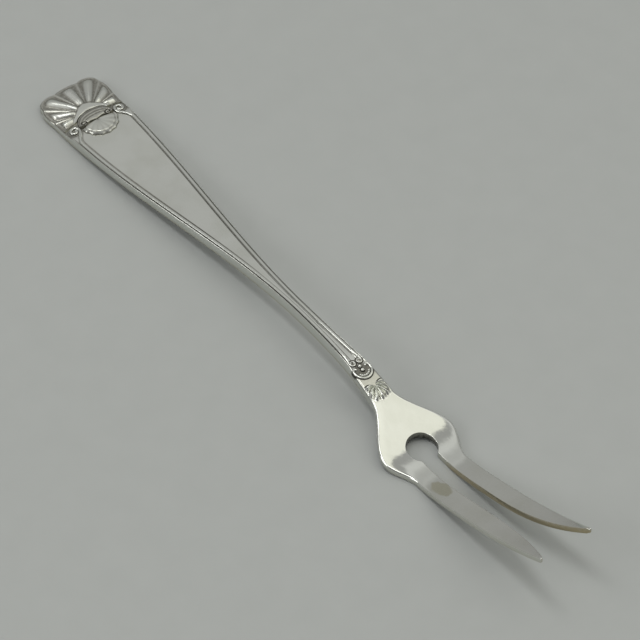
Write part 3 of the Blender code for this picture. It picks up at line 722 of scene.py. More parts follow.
def head_insets(size, s, y):
    """Distances of a point of the head from the outer edge and from the pierced edge of the plate."""
    y = abs(y)
    centre_s, centre_y = tip_centre(size)
    if s > centre_s:
        inset = TIP_RADIUS - math.hypot(s - centre_s, y - centre_y)
        return inset, inset
    outer = edge_distance(head_half, size, s, y)
    if s < keyhole_mouth(size)[1]:
        return outer, math.hypot(s - KEYHOLE_STATION, y) - size.keyhole_radius
    return outer, -edge_distance(tine_inner, size, s, y)


def head_thickness(s):
    return blend(STEM_THICKNESS, HEAD_THICKNESS, ease(NECK_END_STATION, HEAD_WIDE_STATION, s))


def head_fall(size, s, y):
    """Fall of the head's rounded edges, the same on both faces."""
    outer, inner = head_insets(size, s, y)
    return quarter_fall(outer, EDGE_ROLL) + quarter_fall(inner, HOLE_ROLL)


def head_top(size, s, y):
    """Top of the head, faintly crowned towards its outer edge."""
    outer, _ = head_insets(size, s, y)
    crown = (1.0 - min(max(outer, 0.0) / CROWN_RUN, 1.0)) ** 2
    crown *= ease(SEAM_STATION, SEAM_STATION + CROWN_START, s)
    return arch(size, s) - head_fall(size, s, y) - CROWN_FALL * crown


def head_back(size, s, y):
    """Back of the head, flat where it lies on the table."""
    return max(arch(size, s) - head_thickness(s), 0.0) + head_fall(size, s, y)


def edge_tarnish_and_shade(size, s, y):
    """Painted shade in the hole, and warm tarnish with painted shade between the tines, given as a negative
    value.
    """
    _, mouth = keyhole_mouth(size)
    near_edge = 1.0 - ease(0.0, WALL_EDGE, min(head_insets(size, s, y)))
    if s < mouth and math.hypot(s - KEYHOLE_STATION, y) < size.keyhole_radius + HOLE_MARGIN:
        return near_edge
    middle = (head_half(size, s) + tine_inner(size, s)) / 2
    between = ease(mouth, mouth + TINE_WARM_RUN, s) if abs(y) < middle else 0.0
    return -near_edge * blend(OUTER_WARMTH, 1.0, between)


def head_tarnish_and_shade(size, s, y):
    """Grey film on the neck that fades out past the fan, a warm tint on the tines, and tarnish and painted
    shade by the edges.
    """
    start, end = FILM_END
    film = NECK_FILM * (1.0 - ease(FAN_STATION + start, FAN_STATION + end, s))
    warm = TINE_WARMTH * ease(HEEL_STATION, HEEL_STATION + TINE_WARM_RUN, s)
    return film - warm + WALL_SHARE * edge_tarnish_and_shade(size, s, y)


def head_wall_tarnish_and_shade(size, s, y):
    """Tarnish and painted shade of the edges on the walls, with a warm film over the back."""
    return edge_tarnish_and_shade(size, s, y) - BACK_WARMTH


# Ornament in plan, with u and v from 0 to 1, and its rise above the ground


def rib(across, width=RIB_WIDTH):
    """Rounded section of a rib, from 0 in the valleys to 1 on its crest."""
    return math.cos(math.pi / 2 * min(abs(across) / width, 1.0)) ** RIB_SHARPNESS


@lru_cache(maxsize=None)
def cartouche_reach(angle):
    """Distance from the round end's centre to the edge of the cartouche, found by halving."""
    low, high = 0.0, CARTOUCHE_OFFSET + CARTOUCHE_RADIUS
    for _ in range(HALVINGS):
        reach = (low + high) / 2
        along = abs(CARTOUCHE_OFFSET + reach * math.cos(angle)) / CARTOUCHE_RADIUS
        across = abs(reach * math.sin(angle)) / CARTOUCHE_HALF
        if along ** CARTOUCHE_SQUARENESS + across ** CARTOUCHE_SQUARENESS < 1.0:
            low = reach
        else:
            high = reach
    return low


def shell_polar(size, u, v):
    """Angle and radius about the round end's centre, and the share of the way along a lobe."""
    side = 2.0 * u - 1.0
    degrees = LOBE_BOUNDS[-1] * side
    angle = math.radians(degrees)
    root = cartouche_reach(angle) + SHELL_GAP
    outer = end_reach(size, angle) - SHELL_MARGIN
    radius = blend(root, outer, v)
    start = root + HUB_WIDTH * (1.0 - HUB_TAPER * side ** 2)
    return degrees, angle, radius, (radius - start) / (outer - LOBE_RIM - start)


def shell_place(size, u, v):
    _, angle, radius, _ = shell_polar(size, u, v)
    return end_point(size, radius, angle)


def shell_rib(size, u, v):
    """Rise of the lobes as a share of their height: fingers that keep their width, with round ends."""
    degrees, _, radius, share = shell_polar(size, u, v)
    past = max((share - 1.0 + LOBE_END) / LOBE_END, 0.0)
    end = math.sqrt(max(1.0 - past ** 2, 0.0))
    width = min(RIB_WIDTH * (RIB_RADIUS / radius) ** RIB_TAPER, RIB_WIDEST)
    return rib(lobe_at(degrees, LOBE_BOUNDS), width) * end * blend(LOBE_ROOT, 1.0, ease(*LOBE_SWELL, share))


def shell_ridge(size, u, v):
    """Fine ridge that runs up each valley and round the end of each lobe."""
    degrees, _, _, share = shell_polar(size, u, v)
    valley = bell(abs(lobe_at(degrees, LOBE_BOUNDS)), 1.0, RIDGE_WIDTH) * ease(*RIDGE_RUN, share)
    return max(valley, marks(share, RIDGE_END))


def shell_rise(size, u, v):
    """Plain heart that falls towards the cartouche, then rounded lobes between shaded valleys."""
    share = shell_polar(size, u, v)[3]
    form = max(shell_rib(size, u, v), RIDGE_HEIGHT * shell_ridge(size, u, v))
    hub = size.shell_height * blend(*HUB_RISE, ease(0.0, HUB_EDGE, v))
    return blend(hub, blend(SHELL_VALLEY, size.shell_height, form), ease(*HUB_STEP, share))


def shell_tarnish_and_shade(size, u, v):
    # Tarnish and painted shade: darker valleys between the lobes, and dark lines where the hub meets the
    # lobes and the band
    share = shell_polar(size, u, v)[3]
    valley = VALLEY_SHADE * (1.0 - ease(*VALLEY_CREST, shell_rib(size, u, v)))
    valley *= (1.0 - shell_ridge(size, u, v) / 2) * ease(0.0, HUB_STEP[1], share)
    return max(valley, marks(share, HUB_SHADE_LINE), marks(v, ROOT_SHADE_LINE))


def band_polar(u, v):
    """Angle along the band, and the share of the cartouche's radius."""
    along = 2.0 * u - 1.0
    inner = 1.0 - BAND_WIDTH / CARTOUCHE_RADIUS * (1.0 - BAND_NARROWING * along ** 2)
    return math.radians(BAND_SWEEP) * along, blend(inner, 1.0, v)


def band_place(size, u, v):
    angle, share = band_polar(u, v)
    power = 2.0 / CARTOUCHE_SQUARENESS
    along = CARTOUCHE_RADIUS * math.cos(angle) ** power
    across = CARTOUCHE_HALF * math.copysign(abs(math.sin(angle)) ** power, angle)
    return size.shell_length + CARTOUCHE_OFFSET - share * along, share * across


def band_curl(u, v):
    """Distance from the eye of the nearer curl."""
    along = (abs(2.0 * u - 1.0) - CURL_PLACE[0]) * CURL_SPAN[0]
    return math.hypot(along, (v - CURL_PLACE[1]) * CURL_SPAN[1])


def band_grooves(u, v):
    """Fine lines along the band, which stop at the curls."""
    return marks(v, BAND_GROOVES) * ease(*CURL_CLEAR, band_curl(u, v))


def band_rise(size, u, v):
    """Low rolled band with fine grooves and a curled eye at each end."""
    roll = math.sqrt(max(1.0 - (2.0 * v - 1.0) ** 4, 0.0))
    cut = GROOVE_CUT * band_grooves(u, v) + CURL_CUT * bell(band_curl(u, v), CURL_RADIUS, CURL_LINE)
    return blend(BAND_EDGE, size.band_height, roll * (1.0 - cut))


def band_tarnish_and_shade(size, u, v):
    # Grey film over the band, with painted shade in its grooves, in the eyes of its curls and along its
    # edges
    eye = CURL_SHADE * bell(band_curl(u, v), CURL_RADIUS, CURL_LINE)
    return min(BAND_FILM + GROOVE_SHADE * band_grooves(u, v) + eye + marks(v, BAND_EDGE_SHADE), 1.0)


def pleat(u):
    return math.cos(2.0 * math.pi * LIP_PLEATS * (u - 0.5))


def lip_place(size, u, v):
    """Half disc that opens towards the tines, with a wavy hem."""
    along = 2.0 * u - 1.0
    hem = blend(LIP_LENGTH, CARTOUCHE_HALF, along ** 2) + LIP_WAVE * (v * pleat(u) - 1.0)
    inner = CARTOUCHE_VALLEY / 2
    start = size.shell_length + CARTOUCHE_OFFSET - CARTOUCHE_RADIUS + BAND_WIDTH + inner
    return around((start, 0.0), blend(inner, hem, v), math.radians(LIP_SWEEP) * along)


def lip_rise(size, u, v):
    """Smooth crowned lip with faint pleats and a raised hem."""
    crown = (size.lip_height - LIP_EDGE) * math.sin(math.pi * blend(*LIP_CROWN, v))
    folds = PLEAT_DEPTH * v * pleat(u) + HEM * marks(v, LIP_HEM)
    return LIP_EDGE + (crown + folds) * (1.0 - ease(LIP_END, 1.0, v))


def lip_tarnish_and_shade(size, u, v):
    # Painted shade between the pleats, in the hem's groove and along the lip's edges
    folds = PLEAT_SHADE * (1.0 - pleat(u)) / 2 * ease(*PLEAT_RUN, v)
    return min(folds + marks(v, LIP_SHADE_LINES), 1.0)


def fan_polar(size, u, v):
    """Angle in radians, place across the flute and radius within the neck shell."""
    degrees = FLUTE_BOUNDS[-1] * (2.0 * u - 1.0)
    across = lobe_at(degrees, FLUTE_BOUNDS)
    outer = blend(size.fan_length, FAN_SIDE_LENGTH, ease(*FAN_SHORTENING, abs(degrees)))
    return math.radians(degrees), across, blend(FAN_ROOT, outer - FAN_NOTCH * abs(across) ** 3, v)


def fan_place(size, u, v):
    """Fan whose two upper edges bulge towards the handle like a bracket."""
    angle, _, radius = fan_polar(size, u, v)
    bulge = FAN_BRACKET * math.sin(math.pi * v) * abs(2.0 * u - 1.0) ** 6
    return around((FAN_STATION - bulge, 0.0), radius, angle)


def fan_rise(size, u, v):
    _, across, _ = fan_polar(size, u, v)
    flute = rib(across) * (1.0 - ease(FLUTE_END, 1.0, v)) * ease(*FLUTE_SWELL, v)
    return blend(FAN_VALLEY, size.fan_height, flute)


def fan_tarnish_and_shade(size, u, v):
    """Painted shade: a dark line along the bracket-shaped upper edge, and dark valleys between the flutes
    that fade towards their ends.
    """
    _, across, _ = fan_polar(size, u, v)
    flutes = marks(abs(across), FLUTE_SHADE_LINES) * (1.0 - ease(FLUTE_FADE, 1.0, v))
    return max(flutes, 1.0 - ease(*BRACKET_LINE, min(u, 1.0 - u)))


# Wires, as (station, y, share of the full section) points


def spiral(centre, start_radius, end_radius, start_angle, turns, steps):
    """Plan points of a spiral, with angles in degrees and turns counted anticlockwise."""
    points = []
    for i in range(steps + 1):
        angle = math.radians(start_angle) + 2.0 * math.pi * turns * i / steps
        points.append(around(centre, blend(start_radius, end_radius, i / steps), angle))
    return points


def collar_arc(radius, sweep, steps):
    """Plan points about the collar's centre, as many degrees to each side of the axis as the sweep."""
    return spiral((COLLAR_STATION, 0.0), radius, radius, -sweep, sweep / 180.0, steps)


def scroll_path(size, side):
    """Thread from the volute's eye, out to the edge, along the handle and into the neck scroll."""
    station, volute_y = volute_centre(size)
    line = VOLUTE_RADIUS - VOLUTE_SHARE * size.wire_width / 2
    start_angle = -90.0 - 360.0 * VOLUTE_TURNS
    volute = spiral((station, volute_y), VOLUTE_EYE, line, start_angle, VOLUTE_TURNS, VOLUTE_STEPS)
    path = [(s, y, VOLUTE_SHARE) for s, y in volute]
    join = station + WIRE_JOIN_LENGTH
    lead, scroll_y, scroll_line = neck_scroll(size)
    for s in spread(station, join, JOIN_STEPS) + spread(join, lead, THREAD_STEPS):
        path.append((s, thread_line(size, s), blend(VOLUTE_SHARE, 1.0, ease(station, join, s))))
    scroll_line -= SCROLL_SHARE * size.wire_width / 2
    start = (lead, thread_line(size, lead), slope(thread_line, size, lead, lead + MM))
    end = (SCROLL_STATION, scroll_y + scroll_line, 0.0)
    turn = spread(lead, SCROLL_STATION, JOIN_STEPS)[:-1]
    for s in turn:
        path.append((s, hermite(s, start, end), blend(1.0, SCROLL_SHARE, ease(lead, turn[-1], s))))
    scroll = spiral((SCROLL_STATION, scroll_y), scroll_line, SCROLL_EYE, 90.0, -SCROLL_TURNS, SCROLL_STEPS)
    path += [(s, y, SCROLL_SHARE) for s, y in scroll]
    return [(s, side * y, share) for s, y, share in path]


def collar_path(size):
    """Horseshoe from one curled end to the other, open towards the handle."""
    line = size.collar_radius - COLLAR_WIRE / 2
    centre = around((COLLAR_STATION, 0.0), line - COLLAR_CURL, math.radians(COLLAR_SWEEP))
    curl = spiral(centre, COLLAR_CURL, COLLAR_EYE, COLLAR_SWEEP, COLLAR_CURL_TURNS, CURL_STEPS)
    start = [(s, -y) for s, y in reversed(curl)]
    points = start + collar_arc(line, COLLAR_SWEEP, COLLAR_STEPS)[1:-1] + curl
    return [(s, y, COLLAR_WIRE / size.wire_width) for s, y in points]


def pearl_path(size):
    """Row of pearls inside the collar: the wire swells and narrows once for each pearl."""
    line = size.collar_radius - COLLAR_WIRE - PEARL_GAP - PEARL_DIAMETER / 2
    path = []
    for i, (s, y) in enumerate(collar_arc(line, PEARL_SWEEP, PEARL_STEPS * PEARLS)):
        swell = blend(PEARL_WAIST, 1.0, abs(math.sin(math.pi * i / PEARL_STEPS)) ** PEARL_FULLNESS)
        path.append((s, y, swell * PEARL_DIAMETER / size.wire_width))
    return path


# Meshes


def sheet(columns, rows, place):
    """Flat sheet of quads, with a point at place(i, j) for each column i and row j."""
    bm = bmesh.new()
    bmesh.ops.create_grid(bm, x_segments=columns, y_segments=rows, size=0.5)
    for vert in bm.verts:
        i = round((vert.co.x + 0.5) * columns)
        j = round((vert.co.y + 0.5) * rows)
        vert.co = (*place(i, j), 0.0)
    return bm


def row_point(insets, fill, j, half):
    """Distance from the axis of a row's point j: at an inset from the edge, then in even steps."""
    last = len(insets) - 1
    return (half - insets[min(j, last)]) * (1.0 - max(j - last, 0) / fill)


def weld(bm):
    bmesh.ops.remove_doubles(bm, verts=bm.verts[:], dist=WELD)


def mirrored(bm):
    """Weld a far half to its near half."""
    weld(bm)
    bmesh.ops.mirror(bm, geom=bm.verts[:] + bm.edges[:] + bm.faces[:], merge_dist=WELD, axis="Y")
    weld(bm)
    return bm


def solid(bm, upper, lower):
    """Thicken a sheet: upper and lower turn its plan points into (point, tarnish and painted shade) for its
    two faces.
    """
    layer = bm.verts.layers.float.new("tarnish_and_shade")
    raised = bmesh.ops.extrude_face_region(bm, geom=bm.faces[:])["geom"]
    tops = {element for element in raised if isinstance(element, bmesh.types.BMVert)}
    for vert in bm.verts:
        face = upper if vert in tops else lower
        vert.co, vert[layer] = face(vert.co.x, vert.co.y)
    return bm


def plate(size, bm, top, back, tarnish_and_shade, wall):
    """Solid between the heights of a sheet's top and back."""
    return solid(bm, lambda s, y: ((s, y, top(size, s, y)), tarnish_and_shade(size, s, y)),
                 lambda s, y: ((s, y, back(size, s, y)), wall(size, s, y)))


def relief(size, grid, place, rise, tarnish_and_shade, floor=ground):
    """Struck ornament: a sheet in plan whose top rises from a floor."""

    def at_height(u, v, height):
        s, y = place(size, u, v)
        return s, y, floor(size, s, y) + height

    bm = sheet(*grid, lambda i, j: (i / grid[0], j / grid[1]))
    # The sunk walls get painted shade where the ornament meets the ground
    return solid(bm, lambda u, v: (at_height(u, v, rise(size, u, v)), tarnish_and_shade(size, u, v)),
                 lambda u, v: (at_height(u, v, -SINK), ORNAMENT_WALL_SHADE))


def wire(size, path):
    """Half-round thread along a path, closed to a point at both ends."""
    section = [around((0.0, 0.0), 1.0, math.pi * j / ARC_STEPS) for j in range(ARC_STEPS)]
    section += [(-1.0, 0.0), (0.0, 0.0), (1.0, 0.0)]
    last = len(path) - 1
    bm = bmesh.new()
    bmesh.ops.create_grid(bm, x_segments=last, y_segments=len(section) - 1, size=0.5)
    layer = bm.verts.layers.float.new("tarnish_and_shade")
    for vert in bm.verts:
        i = round((vert.co.x + 0.5) * last)
        across, up = section[round((vert.co.y + 0.5) * (len(section) - 1))]
        s, y, share = path[i]
        before = path[max(i - 1, 0)]
        after = path[min(i + 1, last)]
        along = Vector((after[0] - before[0], after[1] - before[1])).normalized()
        taper = math.sqrt(1.0 - WIRE_ENDS[min(i, last - i, len(WIRE_ENDS) - 1)] ** 2)
        side = taper * share * size.wire_width / 2 * across
        s -= along.y * side
        y += along.x * side
        rise = taper * up
        # Painted shade at the thread's foot, where it meets the ground
        vert[layer] = ease(*WIRE_FOOT_SHADE, 1.0 - rise)
        vert.co = (s, y, ground(size, s, y) + (share * size.wire_height * rise if rise > 0.0 else -SINK))
    weld(bm)
    return bm


def mesh_of(name, bm):
    """Turn a bmesh into a mesh, and free it."""
    mesh = bpy.data.meshes.new(name)
    bm.to_mesh(mesh)
    bm.free()
    return mesh


def add_object(name, data):
    """Put an object with this data into the scene."""
    thing = bpy.data.objects.new(name, data)
    bpy.context.scene.collection.objects.link(thing)
    return thing


def add_piece(name, bm, material, slot, *nodes):
    """Place a finished bmesh in the row frame as a piece that stands for CAD nodes."""
    bmesh.ops.translate(bm, verts=bm.verts[:], vec=(STATION_ZERO, 0.0, 0.0))
    bmesh.ops.recalc_face_normals(bm, faces=bm.faces[:])
    mesh = mesh_of(name, bm)
    mesh.shade_smooth()
    mesh.set_sharp_from_angle(angle=SHARP_ANGLE)
    mesh.materials.append(material)
    piece = add_object(name, mesh)
    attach(piece, "root")
    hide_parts(*nodes)
    return piece


# Materials


def add_node(tree, kind, inputs, output=0, **settings):
    """Add a node with settings and with values or links on its inputs, and return one of its outputs."""
    node = tree.nodes.new(kind)
    for key, value in settings.items():
        setattr(node, key, value)
    for key, value in inputs.items():
        if isinstance(value, bpy.types.NodeSocket):
            tree.links.new(value, node.inputs[key])
        else:
            node.inputs[key].default_value = value
    return node.outputs[output]


def new_material(name):
    """New material, with its node tree, its shader and the coordinates of the piece."""
    material = bpy.data.materials.new(name)
    material.use_nodes = True
    tree = material.node_tree
    return material, tree, tree.nodes["Principled BSDF"], add_node(tree, "ShaderNodeTexCoord", {}, "Object")


def silver(name, colours, roughness, dents, stain=None):
    """Sterling silver, worn by use: a soft mirror with dull clouds, fine scratches, tarnish and painted
    shade.

    Roughness is given as (least, most), dents as (size, strength) and a stain as (centre, half sizes).
    """
    if name in bpy.data.materials:
        return bpy.data.materials[name]
    material, tree, shader, place = new_material(name)
    noise_low, noise_high = 0.3, 0.7
    ragged_low, ragged_high = 0.8, 1.15
    deep_haze, spot_haze = 0.3, 0.15
    cloud_size, grain_size, blot_size = 7.0 * MM, 0.5 * MM, 1.6 * MM
    dent_depth = 0.05 * MM

    clouds = add_node(tree, "ShaderNodeTexNoise",
                      {"Vector": place, "Scale": 1.0 / cloud_size, "Detail": 4.0})
    tarnish_and_shade = add_node(tree, "ShaderNodeAttribute", {}, "Fac", attribute_name="tarnish_and_shade")
    grain = add_node(tree, "ShaderNodeTexNoise",
                     {"Vector": place, "Scale": 1.0 / grain_size, "Detail": 3.0})
    ragged = add_node(tree, "ShaderNodeMapRange",
                      {"Value": grain, 1: noise_low, 2: noise_high, 3: ragged_low, 4: ragged_high})
    ragged = add_node(tree, "ShaderNodeMath", {0: tarnish_and_shade, 1: ragged}, operation="MULTIPLY")
    layers = []
    # The film, dark and tan layers paint tarnish together with painted shade in grooves, valleys, gaps and
    # on the walls
    for value, bare, full, tint in ((clouds, 0.4, 0.7, colours.worn), (ragged, 0.05, 0.5, colours.film),
                                    (ragged, 0.4, 0.95, colours.dark), (ragged, -0.05, -0.8, colours.tan)):
        layers.append((add_node(tree, "ShaderNodeMapRange", {"Value": value, 1: bare, 2: full}), tint))
    deep = layers[2][0]

    rough = add_node(tree, "ShaderNodeMapRange",
                     {"Value": clouds, 1: noise_low, 2: noise_high, 3: roughness[0], 4: roughness[1]})
    rough = add_node(tree, "ShaderNodeMath", {0: deep, 1: deep_haze, 2: rough}, operation="MULTIPLY_ADD")
    if stain:
        centre, half_sizes = stain
        smear, edge, core = 0.7, 1.4, 1.2
        scale = tuple(1.0 / half for half in half_sizes)
        shift = tuple(-c / half for c, half in zip(centre, half_sizes))
        reach = add_node(tree, "ShaderNodeMapping", {"Vector": place, "Location": shift, "Scale": scale})
        reach = add_node(tree, "ShaderNodeVectorMath", {0: reach}, "Value", operation="LENGTH")
        blot = add_node(tree, "ShaderNodeTexNoise",
                        {"Vector": place, "Scale": 1.0 / blot_size, "Detail": 2.0})
        reach = add_node(tree, "ShaderNodeMath", {0: blot, 1: smear, 2: reach}, operation="MULTIPLY_ADD")
        spot = add_node(tree, "ShaderNodeMapRange", {"Value": reach, 1: edge, 2: core})
        layers.append((spot, colours.spot))
        rough = add_node(tree, "ShaderNodeMath", {0: spot, 1: spot_haze, 2: rough}, operation="MULTIPLY_ADD")
    base = (*colours.silver, 1.0)
    for factor, tint in layers:
        base = add_node(tree, "ShaderNodeMix", {"Factor": factor, 6: base, 7: (*tint, 1.0)}, 2,
                        data_type="RGBA")

    scale = (1.0 / SCRATCH_LENGTH, 1.0 / SCRATCH_WIDTH, 1.0 / SCRATCH_WIDTH)
    bump = {}
    for turn, strength in ((4.0, 0.12), (-23.0, 0.06)):
        turned = add_node(tree, "ShaderNodeMapping",
                          {"Vector": place, "Rotation": (0.0, 0.0, math.radians(turn)), "Scale": scale})
        lines = add_node(tree, "ShaderNodeTexNoise", {"Vector": turned, "Scale": 1.0, "Detail": 2.0})
        bump.update({"Height": lines, "Strength": strength, "Distance": SCRATCH_DEPTH})
        bump["Normal"] = add_node(tree, "ShaderNodeBump", bump)
    dent_size, strength = dents
    dent = add_node(tree, "ShaderNodeTexNoise", {"Vector": place, "Scale": 1.0 / dent_size, "Detail": 1.0})
    bump.update({"Height": dent, "Strength": strength, "Distance": dent_depth})
    shader.inputs["Metallic"].default_value = 1.0
    tree.links.new(base, shader.inputs["Base Color"])
    tree.links.new(rough, shader.inputs["Roughness"])
    tree.links.new(add_node(tree, "ShaderNodeBump", bump), shader.inputs["Normal"])
    return material


def polished_silver(context):
    """The handle's silver: an even, slightly hazy mirror with shallow waves left by hand polishing."""
    return silver("polished_sterling_silver", context.scene.fork_colours, roughness=(0.09, 0.14),
                  dents=(3.5 * MM, 0.03))


def stained_silver(context):
    """The head's silver, with small dents from use and one dull stain on the near tine."""
    centre = (STATION_ZERO + 123.9 * MM, -3.4 * MM, 2.5 * MM)
    half_sizes = (2.5 * MM, 1.6 * MM, 4.0 * MM)
    return silver("polished_sterling_silver_stained", context.scene.fork_colours, roughness=(0.04, 0.075),
                  dents=(1.2 * MM, 0.14), stain=(centre, half_sizes))


def struck_silver(context):
    """The ornament's silver: duller than the polished faces, with the stipple that a worn die leaves."""
    return silver("die_struck_sterling_silver", context.scene.fork_colours, roughness=(0.24, 0.34),
                  dents=(STIPPLE_SIZE, 0.1))


def buffed_silver(context):
    """The neck ornament's silver: struck like the shell, but brighter where a buff has run over it."""
    return silver("die_struck_sterling_silver_buffed", context.scene.fork_colours, roughness=(0.12, 0.19),
                  dents=(STIPPLE_SIZE, 0.06))


def painted_board(context):
    """Matt painted board: even pale grey with the faint mottle of a roller."""
    material, tree, shader, place = new_material("matt_painted_board")
    mottle_size, mottle_level = 6.0 * MM, 0.94
    mottle = add_node(tree, "ShaderNodeTexNoise",
                      {"Vector": place, "Scale": 1.0 / mottle_size, "Detail": 3.0})
    paint = context.scene.fork_colours.floor
    dull = tuple(mottle_level * channel for channel in paint)
    mixed = add_node(tree, "ShaderNodeMix", {"Factor": mottle, 6: (*paint, 1.0), 7: (*dull, 1.0)}, 2,
                     data_type="RGBA")
    tree.links.new(mixed, shader.inputs["Base Color"])
    shader.inputs["Roughness"].default_value = 0.85
    shader.inputs["Specular IOR Level"].default_value = 0.25
    return material


# Operators


class FORK_OT_handle(bpy.types.Operator):
    """Model the handle with its rims, grooves and scalloped end"""
    bl_idname = "fork.handle"
    bl_label = "Handle"

    def execute(self, context):
        size = sizes_of(context)
        stations = spread(size.shell_length, ORNAMENT_END, ORNAMENT_ROWS)
        stations += spread(ORNAMENT_END, STEM_END, BLADE_ROWS)
        stations += spread(STEM_END, SEAM_STATION, STEM_END_ROWS)

        def place(i, j):
            if i <= END_ROWS:
                angle = math.pi / 2 * i / END_ROWS
                radius = row_point(RIM_INSETS, PANEL_POINTS, j, end_reach(size, angle))
                return end_point(size, radius, angle)
            s = stations[i - END_ROWS - 1]
            return s, row_point(RIM_INSETS, PANEL_POINTS, j, half_width(size, s))

        bm = mirrored(sheet(END_ROWS + len(stations), len(RIM_INSETS) - 1 + PANEL_POINTS, place))
        plate(size, bm, handle_top, handle_back, handle_tarnish_and_shade, handle_wall_tarnish_and_shade)
        add_piece("handle", bm, polished_silver(context), "polished_silver", "handle_blade")
        return {"FINISHED"}


class FORK_OT_head(bpy.types.Operator):
    """Model the pierced head and its two tines"""
    bl_idname = "fork.head"
    bl_label = "Head and tines"

    def execute(self, context):
        size = sizes_of(context)
        roll_points = len(ROLL_INSETS) - 1
        neck_points = roll_points + PLATE_POINTS
        across_points = neck_points + roll_points

        def neck_place(i, j):
            s = blend(SEAM_STATION, SHOULDER_STATION, i / NECK_ROWS)
            return s, row_point(ROLL_INSETS, PLATE_POINTS, j, head_half(size, s))

        shoulder = [neck_place(NECK_ROWS, neck_points - i) for i in range(neck_points + 1)]
        outer, inner = self.edges(size, shoulder)

        def tine_place(i, j):
            start, end = Vector(outer[i]), Vector(inner[i])
            width = (end - start).length
            scale = min(1.0, width / (ROLL_ROOM * ROLL_INSETS[-1]))
            first = ROLL_INSETS[-1] * scale
            if j <= roll_points:
                reach = ROLL_INSETS[j] * scale
            elif j >= neck_points:
                reach = width - ROLL_INSETS[across_points - j] * scale
            else:
                reach = blend(first, width - first, (j - roll_points) / PLATE_POINTS)
            return blend(start, end, reach / width if width > 0.0 else 0.0)

        bm = sheet(NECK_ROWS, neck_points, neck_place)
        tine = mesh_of("tine_plan", sheet(len(outer) - 1, across_points, tine_place))
        bm.from_mesh(tine)
        bpy.data.meshes.remove(tine)
        plate(size, mirrored(bm), head_top, head_back, head_tarnish_and_shade, head_wall_tarnish_and_shade)
        add_piece("head", bm, stained_silver(context), "polished_silver", "fork_head")
        return {"FINISHED"}

    def edges(self, size, shoulder):
        """Matching points of the outer and the inner edge, from the axis round the hole and down a tine."""
        mouth_angle, mouth = keyhole_mouth(size)
        root = TINE_ROOT_STATION - ROOT_LEAD
        point_start = LENGTH - TINE_POINT_LENGTH
        tip = tip_centre(size)
        lean = math.atan(TINE_POINT_SLOPE)
        stations = spread(SHOULDER_STATION, root, HOLE_ROWS)
        stations += spread(root, point_start, TINE_ROWS) + spread(point_start, tip[0], TINE_ROWS)
        outer = shoulder + [(s, head_half(size, s)) for s in stations]
        angles = [math.pi] + spread(math.pi, SPLIT_ANGLE, len(shoulder) - 1)
        angles += spread(SPLIT_ANGLE, mouth_angle, HOLE_ROWS)
        inner = [around((KEYHOLE_STATION, 0.0), size.keyhole_radius, angle) for angle in angles]
        stations = spread(mouth, point_start, TINE_ROWS) + spread(point_start, tine_end(size)[0], TINE_ROWS)
        inner += [(s, tine_inner(size, s)) for s in stations]
        for edge, angle in ((outer, math.pi / 2), (inner, lean - math.pi / 2)):
            edge += [around(tip, TIP_RADIUS, turn) for turn in spread(angle, lean / 2, TIP_ROWS)]
        return outer, inner


class FORK_OT_shell(bpy.types.Operator):
    """Model the lobed shell on the handle's end"""
    bl_idname = "fork.shell"
    bl_label = "Shell"

    def execute(self, context):
        bm = relief(sizes_of(context), SHELL_GRID, shell_place, shell_rise, shell_tarnish_and_shade)
        add_piece("shell", bm, struck_silver(context), "shaded_silver", "shell_terminal")
        return {"FINISHED"}


class FORK_OT_cartouche(bpy.types.Operator):
    """Model the crescent band and the pleated lip below the shell"""
    bl_idname = "fork.cartouche"
    bl_label = "Cartouche"

    def execute(self, context):
        size = sizes_of(context)
        band = relief(size, BAND_GRID, band_place, band_rise, band_tarnish_and_shade)
        add_piece("crescent_band", band, struck_silver(context), "shaded_silver", "cartouche_band")
        lip = relief(size, LIP_GRID, lip_place, lip_rise, lip_tarnish_and_shade)
        add_piece("pleated_lip", lip, struck_silver(context), "shaded_silver", "cartouche_lip")
        return {"FINISHED"}


class FORK_OT_threads(bpy.types.Operator):
    """Model the two scroll-ended threads along the handle's edges"""
    bl_idname = "fork.threads"
    bl_label = "Threads"

    def execute(self, context):
        size = sizes_of(context)
        silver_wire = polished_silver(context)
        for name, side in (("near", -1.0), ("far", 1.0)):
            bm = wire(size, scroll_path(size, side))
            add_piece("thread_" + name, bm, silver_wire, "polished_silver", "scroll_wire_" + name)
        return {"FINISHED"}


class FORK_OT_neck(bpy.types.Operator):
    """Model the beads, the collar with its pearls and the small shell on the neck"""
    bl_idname = "fork.neck"
    bl_label = "Neck ornament"

    def execute(self, context):
        size = sizes_of(context)
        material = buffed_silver(context)
        for name, station in zip(("upper", "lower"), BEAD_STATIONS):
            bead = self.bead(size, station)
            add_piece("bead_" + name, bead, material, "shaded_silver", "neck_bead_" + name)
        collar = wire(size, collar_path(size))
        add_piece("collar", collar, material, "shaded_silver", "neck_collar")
        pearls = wire(size, pearl_path(size))
        add_piece("pearl_row", pearls, material, "shaded_silver", "neck_pearl_wire")
        fan = relief(size, FAN_GRID, fan_place, fan_rise, fan_tarnish_and_shade, head_top)
        add_piece("neck_fan", fan, material, "shaded_silver", "neck_shell")
        return {"FINISHED"}

    def bead(self, size, station):
        """Round bead, half sunk in the neck, with painted shade at its foot."""
        bm = bmesh.new()
        height = ground(size, station, 0.0) + SINK
        columns, rows = BEAD_GRID
        bmesh.ops.create_uvsphere(bm, u_segments=columns, v_segments=rows, radius=size.bead_radius,
                                  matrix=Matrix.Translation((station, 0.0, height)))
        layer = bm.verts.layers.float.new("tarnish_and_shade")
        for vert in bm.verts:
            vert[layer] = 1.0 - ease(0.0, BEAD_FOOT_SHADE, (vert.co.z - height) / size.bead_radius)
        return bm


